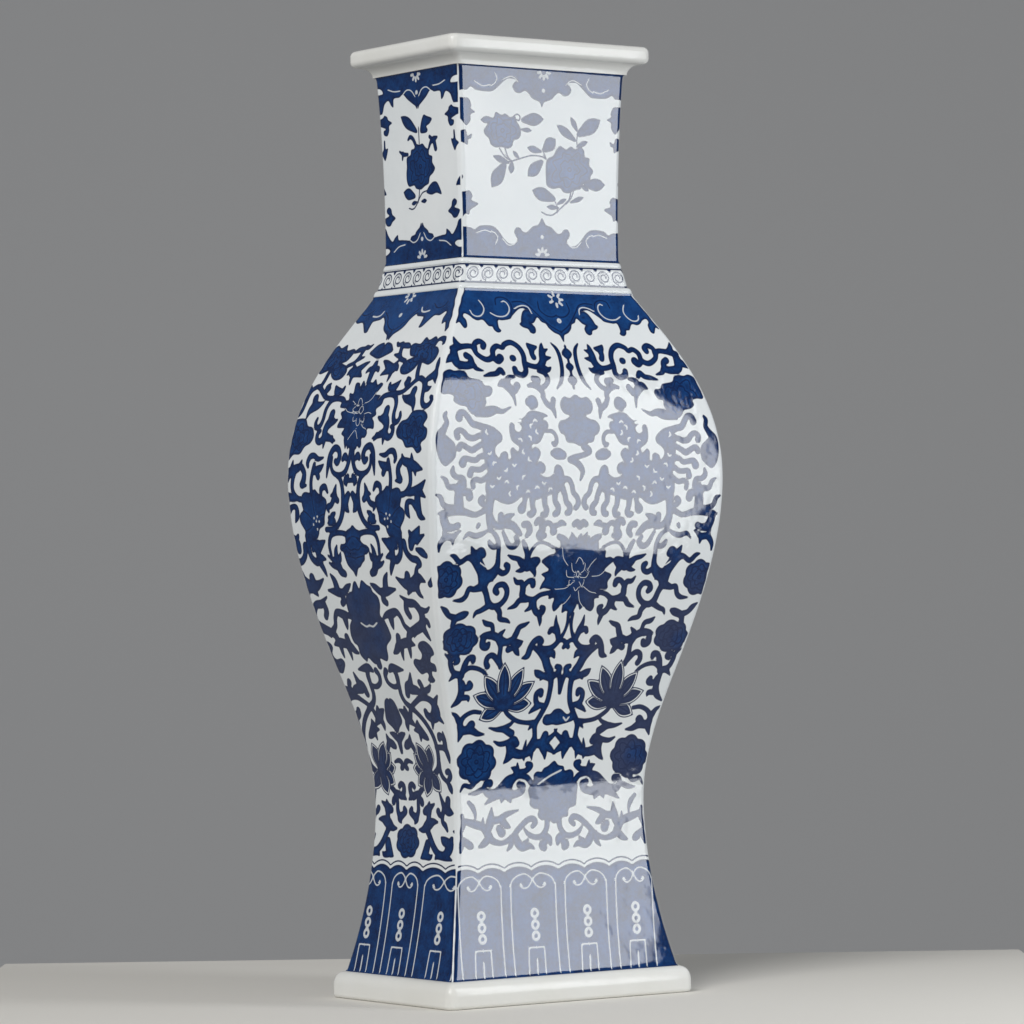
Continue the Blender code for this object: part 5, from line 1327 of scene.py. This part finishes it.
def make_rim(scene):
    """Rim plate: a rounded edge, a flat top, a rounded lip at the bore and a cove underneath."""
    sizes = scene.vase_sizes
    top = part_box("rim_plate")[1].z
    base = joint_height("neck_front_slab", "rim_plate")
    mouth = slab_reach("neck", -1)
    overhang = half_sizes("rim_plate")[0] - mouth[0]
    edge = overhang - sizes.rim_edge
    under = base + sizes.cove
    cove = arc((edge, base), (edge - sizes.cove_root, sizes.cove), 180, 90, EDGE_STEPS)
    lower = arc((edge, under + sizes.rim_edge), (sizes.rim_edge,) * 2, -90, 0, EDGE_STEPS)
    upper = arc((edge, top - sizes.rim_edge), (sizes.rim_edge,) * 2, 0, 90, EDGE_STEPS)
    outer = np.concatenate([[(0, base)], cove[:-1], lower, upper])
    lip = arc((sizes.rim_edge, top - sizes.rim_edge), (sizes.rim_edge,) * 2, 90, 180, EDGE_STEPS)
    bore = [reach - sizes.neck_wall for reach in mouth]
    inner = np.concatenate([lip, [(0, base)]])
    profile = np.concatenate([
        outset(*mouth, outer, sizes.rim_corner - overhang, sizes.arris),
        outset(*bore, inner, sizes.arris, sizes.arris),
    ])
    mesh = ring_mesh("rim", profile, rectangle_path(EDGE_STEPS, PLAIN_STATIONS))
    add_piece("rim", mesh, shared_finish(scene, white_glaze), ["rim_plate"])


def make_plinth(scene):
    """Foot plinth: a rounded lower edge, a bullnose up to the body, and a stepped opening for the floor."""
    sizes = scene.vase_sizes
    height = joint_height("foot_plinth", "body_front_slab")
    foot = slab_reach("body", 0)
    overhang = half_sizes("foot_plinth")[0] - foot[0]
    nose = arc((0, height - sizes.plinth_nose), (overhang, sizes.plinth_nose), 0, 90, 2 * EDGE_STEPS)
    edge = overhang - sizes.plinth_edge
    lower = arc((edge, sizes.plinth_edge), (sizes.plinth_edge,) * 2, -90, 0, EDGE_STEPS)
    ledge = -sizes.ledge_width
    steps = np.array([(0, height), (0, sizes.ledge), (ledge, sizes.ledge), (ledge, 0)])
    profile = np.concatenate([
        outset(*foot, np.concatenate([lower, nose]), sizes.plinth_corner - overhang, sizes.arris),
        outset(*half_sizes("floor_slab"), steps, sizes.arris, sizes.arris),
    ])
    mesh = ring_mesh("plinth", profile, rectangle_path(EDGE_STEPS, PLAIN_STATIONS))
    add_piece("plinth", mesh, shared_finish(scene, white_glaze), ["foot_plinth"])


def make_shoulder_band(scene):
    """Shoulder band: the body's top width at its foot, the neck's at its top, and a bead along each edge.

    On the broad sides the panel between the beads stands steeper than the slope from bead to bead, and falls
    back to it under the upper bead.
    """
    sizes = scene.vase_sizes
    low = joint_height("body_front_slab", "shoulder_band")
    high = joint_height("shoulder_band", "neck_front_slab")
    height = high - low
    foot = np.array(slab_reach("body", -1))
    top = np.array(slab_reach("neck", 0))
    low_half = sizes.lower_bead / 2
    high_half = sizes.upper_bead / 2
    lower = arc((0, low_half), (sizes.bead_proud, low_half), -90, 90, BEAD_STEPS)
    upper = arc((0, height - high_half), (sizes.bead_proud, high_half), -90, 90, BEAD_STEPS)
    panel_rows = 30
    panel = np.linspace(lower[-1], upper[0], panel_rows + 2)[1:-1]
    d, rise = np.concatenate([lower, panel, upper]).T
    reach = foot + (top - foot) * (rise / height)[:, None] + d[:, None]
    up_the_panel = np.linspace(0, 1, len(panel))
    head = 0.85
    steeper = np.interp(up_the_panel, (0, head, 1), (-sizes.panel_inset, sizes.panel_proud, 0))
    reach[len(lower):-len(upper), 1] += steeper
    outer = np.column_stack([reach, np.full(len(d), sizes.arris) + d, low + rise])
    neck_bore = (*(top - sizes.neck_wall), sizes.arris, high)
    level_wall = 1.15 * sizes.body_wall  # The body's wall leans there, so it is thicker on the level
    body_bore = (*(foot - level_wall), sizes.arris, low)
    profile = np.concatenate([outer, [neck_bore, body_bore]])
    path = rectangle_path(EDGE_STEPS, BAND_STATIONS)
    mesh = ring_mesh("shoulder_band", profile, path)
    line_inset = 0.0006
    low_line = sizes.lower_bead + line_inset
    high_line = height - sizes.upper_bead - line_inset
    paint_band(mesh, profile, path, low_line / MM, high_line / MM)
    add_piece("shoulder_band", mesh, shared_finish(scene, painted_glaze), ["shoulder_band"])


# Stage


def soft_light(scene, name, centre, target, size, radiance, colour, roll=0.0):
    """A rectangular soft light that faces the target, as bright as the radiance says, rolled by degrees."""
    light = bpy.data.lights.new(name, "AREA")
    light.shape = "RECTANGLE"
    light.size, light.size_y = size
    light.energy = radiance * math.pi * size[0] * size[1]
    light.color = colour
    lamp = bpy.data.objects.new(name, light)
    lamp.location = centre
    lamp.rotation_euler = (Vector(target) - Vector(centre)).to_track_quat("-Z", "Y").to_euler()
    lamp.rotation_euler.rotate_axis("Z", math.radians(roll))
    scene.collection.objects.link(lamp)


def make_camera(scene):
    """The photograph's camera: left of the front, a little above the waist, almost level, a long lens."""
    distance = 1.908
    eye_height = 0.1705
    yaw, pitch, roll = (math.radians(angle) for angle in (0.08, 1.09, -0.81))
    ahead = Vector((math.sin(HEADING + yaw), math.cos(HEADING + yaw), 0))
    right = Vector((math.cos(HEADING + yaw), -math.sin(HEADING + yaw), 0))
    up = Vector((0, 0, 1))
    look = ahead * math.cos(pitch) + up * math.sin(pitch)
    over = up * math.cos(pitch) - ahead * math.sin(pitch)
    side = right * math.cos(roll) + over * math.sin(roll)
    crown = over * math.cos(roll) - right * math.sin(roll)
    data = bpy.data.cameras.new("camera")
    data.sensor_width = 36.0
    data.lens = 156.2
    camera = bpy.data.objects.new("camera", data)
    turn = Matrix((side, crown, -look)).transposed().to_4x4()
    place = Vector((-distance * math.sin(HEADING), -distance * math.cos(HEADING), eye_height))
    camera.matrix_world = Matrix.Translation(place) @ turn
    scene.collection.objects.link(camera)
    scene.camera = camera


def stage_piece(scene, name, points, faces, colour):
    """A dull, plain piece of the stage: points give right, ahead and up as the camera looks, in metres."""
    mesh = bpy.data.meshes.new(name)
    mesh.from_pydata((points @ np.array(Matrix.Rotation(-HEADING, 3, "Z")).T).tolist(), [], faces.tolist())
    roughness = 0.9
    material, _, shader = new_finish(name, roughness)
    shader.inputs["Base Color"].default_value = rgba(colour)
    mesh.materials.append(material)
    piece = bpy.data.objects.new(name, mesh)
    scene.collection.objects.link(piece)
    return mesh


def make_floor(scene):
    """A floor that sweeps up into a backdrop."""
    extent = 6.0
    bend_start = 2.2
    bend = 1.2
    sweep = np.linspace(0, math.pi / 2, 24)
    run = np.concatenate([[-extent], bend_start + bend * np.sin(sweep), [bend_start + bend]])
    rise = np.concatenate([[0.0], bend - bend * np.cos(sweep), [extent]]) - TABLE_HEIGHT
    points = [np.column_stack([np.full(len(run), side), run, rise]) for side in (-extent, extent)]
    row = np.arange(len(run) - 1)[:, None]
    faces = row + np.array([[0, len(run), len(run) + 1, 1]])
    mesh = stage_piece(scene, "floor", np.concatenate(points), faces, scene.vase_finish.floor)
    mesh.shade_smooth()


def make_table(scene):
    """The plain table top that the vase stands on."""
    half = 0.24
    back = 0.20
    thickness = 0.03
    top = np.array([(-half, -half, 0), (half, -half, 0), (half, back, 0), (-half, back, 0)])
    points = np.concatenate([top, top - (0, 0, thickness)])
    faces = np.array([(0, 1, 2, 3), (7, 6, 5, 4), (0, 4, 5, 1), (1, 5, 6, 2), (2, 6, 7, 3), (3, 7, 4, 0)])
    stage_piece(scene, "table", points, faces, scene.vase_finish.table)


def make_stage(scene):
    """A table, a floor and backdrop, two soft lights, an even world and the camera."""
    make_floor(scene)
    make_table(scene)
    # Each light: its centre, what it faces, its width and height, and its radiance
    window = ((0.348, -0.53, 0.30), (-0.042, -0.06, 0.26), (0.165, 0.56), 7.3)
    left = ((-1.35, -0.68, 1.2), (0, 0, 0.22), (0.9, 1.2), 7.5)
    soft_light(scene, "window_light", *window, colour=(0.94, 0.97, 1), roll=-2.5)
    soft_light(scene, "left_light", *left, colour=(1, 1, 1))
    world = bpy.data.worlds.new("world")
    world.use_nodes = True
    sky = world.node_tree.nodes["Background"]
    sky.inputs["Color"].default_value = (0.9, 0.92, 0.95, 1)
    sky.inputs["Strength"].default_value = 0.15
    scene.world = world
    make_camera(scene)
    scene.view_settings.view_transform = "Standard"


# Shaders


class Socket:
    """A shader socket that takes part in Python expressions. Each operation on it adds a Math node."""

    def __init__(self, tree, output=None):
        self.tree = tree
        self.output = output

    def add(self, kind, settings, inputs, output=0):
        """Adds a node of any type: its settings first, then the values or links of its sockets."""
        node = self.tree.nodes.new(kind)
        for name, value in settings.items():
            setattr(node, name, value)
        for key, value in inputs.items():
            if isinstance(value, Socket):
                self.tree.links.new(value.output, node.inputs[key])
            else:
                node.inputs[key].default_value = value
        return Socket(self.tree, node.outputs[output])

    def math(self, operation, *values):
        """A Math node on this socket and further values."""
        inputs = dict(enumerate((self, *values)))
        return self.add("ShaderNodeMath", {"operation": operation}, inputs)

    def __add__(self, other):
        return self.math("ADD", other)

    def __sub__(self, other):
        return self.math("SUBTRACT", other)

    def __mul__(self, other):
        return self.math("MULTIPLY", other)

    def __truediv__(self, other):
        return self.math("DIVIDE", other)

    def __rsub__(self, other):
        return self.add("ShaderNodeMath", {"operation": "SUBTRACT"}, {0: other, 1: self})

    def __neg__(self):
        return self.math("MULTIPLY", -1.0)

    def __abs__(self):
        return self.math("ABSOLUTE")

    __radd__ = __add__
    __rmul__ = __mul__

    def clamped(self):
        """This value held between 0 and 1."""
        return self.add("ShaderNodeClamp", {}, {"Value": self})

    def larger(self, other):
        """The larger of two values."""
        return self.math("MAXIMUM", other)

    def attribute(self, name):
        """A number that the mesh holds at its vertices."""
        settings = {"attribute_name": name}
        return self.add("ShaderNodeAttribute", settings, {}, "Fac")

    def along(self, axis):
        """Place on the piece along X, Y or Z, in metres."""
        place = self.add("ShaderNodeTexCoord", {}, {}, "Object")
        return self.add("ShaderNodeSeparateXYZ", {}, {0: place}, axis)

    def noise(self, scale, detail=2.0):
        """Cloudy noise over the piece, from 0 to 1, with so many clouds to the metre."""
        place = self.add("ShaderNodeTexCoord", {}, {}, "Object")
        return self.add("ShaderNodeTexNoise", {}, {"Vector": place, "Scale": scale, "Detail": detail})

    def mixed(self, low, high):
        """A colour between two colours, this value being the share of the second."""
        settings = {"data_type": "RGBA"}
        return self.add("ShaderNodeMix", settings, {0: self, 6: low, 7: high}, 2)


def new_finish(name, roughness):
    """A glossy surface. Returns the material, an empty socket to start expressions from, and the shader."""
    material = bpy.data.materials.new(name)
    material.use_nodes = True
    shader = material.node_tree.nodes["Principled BSDF"]
    shader.inputs["Roughness"].default_value = roughness
    shader.inputs["IOR"].default_value = 1.5
    return material, Socket(material.node_tree), shader


def rgba(colour):
    """A colour property as four numbers."""
    return (*colour, 1.0)


def link(tree, socket, target):
    """Feeds an expression into one of the shader's sockets."""
    tree.links.new(socket.output, target)


def glaze_ripple(start, shader, strength):
    """The slow unevenness of a hand-laid glaze, as a bump."""
    waves = 34.0
    wavelets = 110.0
    relief = 0.0008
    height = start.noise(waves) + 0.5 * start.noise(wavelets)
    bump = start.add("ShaderNodeBump", {}, {"Height": height, "Strength": strength, "Distance": relief})
    link(start.tree, bump, shader.inputs["Normal"])


def clouded(start, low, high, clouds=22.0, contrast=1.6):
    """A colour that drifts between two in soft clouds, so many to the metre."""
    cloud = (start.noise(clouds, 3.0) * contrast - (contrast - 1) / 2).clamped()
    return cloud.mixed(rgba(low), rgba(high))


def fading(distance, full, none):
    """1 up to the distance called full, then falling to 0 at the distance called none."""
    return ((none - distance) / (none - full)).clamped()


def white_glaze(settings, name):
    """Satin glaze on unpainted porcelain, creamier than the panels and greyer in soft clouds."""
    material, start, shader = new_finish(name, settings.satin_roughness)
    shader.inputs["Specular IOR Level"].default_value = settings.satin_gloss
    cream = clouded(start, settings.cream_shade, settings.cream)
    link(start.tree, cream, shader.inputs["Base Color"])
    glaze_ripple(start, shader, 0.5)
    return material


def thin_line(start, kind, half, soft):
    """How much a thin line covers a point: its signed distance crosses zero cleanly between vertices."""
    cover = (0.5 + (half / MM - abs(start.attribute(kind))) / soft).clamped()
    return cover * (half / MM + 0.3 - start.attribute(kind + "_near")).math("GREATER_THAN", 0.0)


def painted_glaze(settings, name):
    """Cobalt under the same glaze: the mesh says how far each point lies from the edge of the paint.

    The cobalt is darker along its edges and veins, lighter beside the veins and on the shoulder, turns violet
    in places round the waist, and lies under glassier glaze.
    """
    material, start, shader = new_finish(name, settings.glaze_roughness)
    shader.inputs["Specular IOR Level"].default_value = settings.painted_gloss
    soft = settings.edge_softness / MM
    blue = start.attribute("blue")
    paint = (0.5 - blue / soft).clamped()
    cut = thin_line(start, "cut", settings.cut_width / 2, soft)
    line = thin_line(start, "line", settings.line_width / 2, soft)
    vein = thin_line(start, "vein", settings.line_width / 2, soft)
    ink = (paint * (1.0 - 0.8 * cut)).larger(line)
    depth = 1.0 - fading(-blue, 0.25, 1.45)
    shoulder_level = 0.292
    shoulder = fading(abs(start.along("Z") - shoulder_level), 0.006, 0.018)
    petals = fading(start.attribute("vein_near"), 0.0, 1.6)
    grain = start.noise(160.0, 4.0) * 1.6 + start.noise(900.0) * 0.9 - 0.85
    wash = (grain + 0.35 * shoulder + 0.4 * petals).clamped() * depth * (1.0 - 0.95 * vein)
    waist_level = 0.128
    waist = fading(abs(start.along("Z") - waist_level), 0.036, 0.066)
    middle = 0.015
    flanks = 1.0 - fading(abs(start.along("X") - start.along("Y") - middle), 0.030, 0.042)
    patches = (start.noise(38.0) * 4.0 - 0.8).clamped()
    violet = waist * flanks * patches * settings.violet_share
    thick = violet.mixed(rgba(settings.cobalt_dark), rgba(settings.violet_dark))
    thin = violet.mixed(rgba(settings.cobalt), rgba(settings.violet))
    cobalt = wash.mixed(thick, thin)
    white = clouded(start, settings.white_shade, settings.white)
    link(start.tree, ink.mixed(white, cobalt), shader.inputs["Base Color"])
    link(start.tree, ink * 0.68, shader.inputs["Coat Weight"])
    glaze_ripple(start, shader, 0.55)
    return material


def bare_porcelain(settings, name):
    """Matt fired clay, as inside the vase and under its foot."""
    roughness = 0.6
    material, start, shader = new_finish(name, roughness)
    clay = clouded(start, settings.clay_shade, settings.clay, clouds=60.0, contrast=1.4)
    link(start.tree, clay, shader.inputs["Base Color"])
    return material


# Settings


def size(label, words, default):
    """A length that a user may change."""
    return bpy.props.FloatProperty(
        name=label, description=words, default=default, min=0, subtype="DISTANCE", unit="LENGTH"
    )


def tint(label, words, default):
    """A colour that a user may change."""
    return bpy.props.FloatVectorProperty(
        name=label, description=words, default=default, min=0, max=1, subtype="COLOR"
    )


def share(label, words, default):
    """A share that a user may change."""
    return bpy.props.FloatProperty(
        name=label, description=words, default=default, min=0, max=1, subtype="FACTOR"
    )


class VaseSizes(bpy.types.PropertyGroup):
    """Sizes of the pieces that the CAD model doesn't hand over by itself."""

    body_wall: size("Body wall", "Thickness of the body's slabs", 0.0060)
    neck_wall: size("Neck wall", "Thickness of the neck's slabs", 0.0055)
    arris: size("Arris", "Radius of the slabs' outer corners", 0.0025)
    bare_arris: size("Bare arris", "Width of the strip along the corners that stays white", 0.0012)
    rim_edge: size("Rim edge", "Rounding of the rim's edges", 0.0026)
    rim_corner: size("Rim corner", "Radius of the rim's corners in plan", 0.0035)
    cove: size("Cove", "Height of the cove under the rim", 0.0045)
    cove_root: size("Cove root", "How far the cove starts out from the neck", 0.0012)
    lower_bead: size("Lower bead", "Height of the bead at the foot of the shoulder band", 0.0024)
    upper_bead: size("Upper bead", "Height of the bead at the top of the shoulder band", 0.0023)
    bead_proud: size("Bead", "How far the beads stand out", 0.0005)
    panel_inset: size("Panel inset", "How far the band's broad panels stand back at their foot", 0.0010)
    panel_proud: size("Panel head", "How far the band's broad panels stand out at their head", 0.0003)
    plinth_nose: size("Plinth nose", "Height of the plinth's rounded top edge", 0.0060)
    plinth_edge: size("Plinth edge", "Rounding of the plinth's lower edge", 0.0018)
    plinth_corner: size("Plinth corner", "Radius of the plinth's corners in plan", 0.0040)
    ledge: size("Ledge", "Height of the ledge that carries the floor", 0.0050)
    ledge_width: size("Ledge width", "Width of the ledge that carries the floor", 0.0050)


class VaseFinish(bpy.types.PropertyGroup):
    """Colours and gloss."""

    white: tint("White", "Porcelain white under the glaze", (0.80, 0.82, 0.82))
    white_shade: tint("White shade", "Porcelain where the glaze lies thick", (0.71, 0.745, 0.755))
    cream: tint("Cream", "Porcelain of the rim and the plinth", (0.81, 0.81, 0.785))
    cream_shade: tint("Cream shade", "Rim and plinth where the glaze lies thick", (0.74, 0.735, 0.69))
    cobalt: tint("Cobalt", "Cobalt blue where it lies thin", (0.004, 0.054, 0.205))
    violet: tint("Violet", "Cobalt that turned violet in the kiln", (0.044, 0.058, 0.120))
    violet_dark: tint("Dark violet", "Violet cobalt where it lies thick", (0.028, 0.038, 0.088))
    violet_share: share("Violet share", "How far the cobalt turned violet", 0.9)
    cobalt_dark: tint("Dark cobalt", "Cobalt blue where it lies thick", (0.0, 0.011, 0.063))
    clay: tint("Clay", "Unglazed clay", (0.80, 0.785, 0.74))
    clay_shade: tint("Clay shade", "Unglazed clay in its darker clouds", (0.74, 0.72, 0.67))
    floor: tint("Floor", "Plain floor and backdrop", (0.86, 0.86, 0.86))
    table: tint("Table", "Plain table top", (0.78, 0.755, 0.70))
    edge_softness: size("Edge softness", "Width over which the paint's edge fades", 0.00030)
    cut_width: size("White line", "Width of the thin lines left white", 0.00080)
    line_width: size("Blue line", "Width of the thin blue lines", 0.00065)
    painted_gloss: share("Painted gloss", "How strongly the painted panels mirror", 0.22)
    glaze_roughness: share("Glaze roughness", "Roughness of the painted panels' glaze", 0.06)
    satin_gloss: share("Satin gloss", "How strongly the rim and the plinth mirror", 0.35)
    satin_roughness: share("Satin roughness", "Roughness of the rim's and the plinth's glaze", 0.2)


# Operators


class VASE_OT_body_slabs(bpy.types.Operator):
    """Four curved slabs of the body, with their painted ornament"""

    bl_idname = "vase.body_slabs"
    bl_label = "Body Slabs"

    def execute(self, context):
        make_walls(context.scene, "body", context.scene.vase_sizes.body_wall, BODY_GRID, BODY_PAINTERS)
        return {"FINISHED"}


class VASE_OT_neck_slabs(bpy.types.Operator):
    """Four slabs of the neck, with their painted ornament"""

    bl_idname = "vase.neck_slabs"
    bl_label = "Neck Slabs"

    def execute(self, context):
        make_walls(context.scene, "neck", context.scene.vase_sizes.neck_wall, NECK_GRID, NECK_PAINTERS)
        return {"FINISHED"}


class VASE_OT_shoulder_band(bpy.types.Operator):
    """Sloping band between the body and the neck: two beads, and spirals running round between them"""

    bl_idname = "vase.shoulder_band"
    bl_label = "Shoulder Band"

    def execute(self, context):
        make_shoulder_band(context.scene)
        return {"FINISHED"}


class VASE_OT_rim(bpy.types.Operator):
    """Flat plate round the mouth, with a cove down to the neck"""

    bl_idname = "vase.rim"
    bl_label = "Rim Plate"

    def execute(self, context):
        make_rim(context.scene)
        return {"FINISHED"}


class VASE_OT_foot(bpy.types.Operator):
    """Bullnosed plinth under the body"""

    bl_idname = "vase.foot"
    bl_label = "Foot Plinth"

    def execute(self, context):
        make_plinth(context.scene)
        return {"FINISHED"}


class VASE_OT_inside(bpy.types.Operator):
    """Floor slab and the coils behind the corner seams, which keep their CAD meshes"""

    bl_idname = "vase.inside"
    bl_label = "Floor and Seam Coils"

    def execute(self, context):
        clay = shared_finish(context.scene, bare_porcelain)
        for name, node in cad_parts.items():
            if name == "floor_slab" or name.endswith("seam_coil"):
                node.data.materials.clear()
                node.data.materials.append(clay)
        return {"FINISHED"}


class VASE_OT_stage(bpy.types.Operator):
    """Plain table, floor and backdrop, soft lights, and the camera at the photograph's angle"""

    bl_idname = "vase.stage"
    bl_label = "Stage"

    def execute(self, context):
        make_stage(context.scene)
        return {"FINISHED"}


class VASE_PT_panel(bpy.types.Panel):
    """The vase's settings and the operators that build its pieces"""

    bl_idname = "VASE_PT_panel"
    bl_label = "Slab Vase"
    bl_space_type = "VIEW_3D"
    bl_region_type = "UI"
    bl_category = "Vase"

    def draw(self, context):
        for operator in OPERATORS:
            self.layout.operator(operator.bl_idname)
        for group in (context.scene.vase_sizes, context.scene.vase_finish):
            box = self.layout.box()
            for name in group.__annotations__:
                box.prop(group, name)


OPERATORS = (
    VASE_OT_body_slabs,
    VASE_OT_neck_slabs,
    VASE_OT_shoulder_band,
    VASE_OT_rim,
    VASE_OT_foot,
    VASE_OT_inside,
    VASE_OT_stage,
)
CLASSES = (VaseSizes, VaseFinish, *OPERATORS, VASE_PT_panel)


def register():
    """Adds the classes and the scene's settings."""
    for cls in CLASSES:
        bpy.utils.register_class(cls)
    bpy.types.Scene.vase_sizes = bpy.props.PointerProperty(type=VaseSizes)
    bpy.types.Scene.vase_finish = bpy.props.PointerProperty(type=VaseFinish)


def unregister():
    """Takes the settings and the classes away again."""
    del bpy.types.Scene.vase_finish
    del bpy.types.Scene.vase_sizes
    for cls in reversed(CLASSES):
        bpy.utils.unregister_class(cls)


def main():
    """Registers the classes and settings, then builds every piece in order."""
    register()
    bpy.ops.vase.body_slabs()
    bpy.ops.vase.neck_slabs()
    bpy.ops.vase.shoulder_band()
    bpy.ops.vase.rim()
    bpy.ops.vase.foot()
    bpy.ops.vase.inside()
    bpy.ops.vase.stage()


if __name__ == "__main__":
    main()
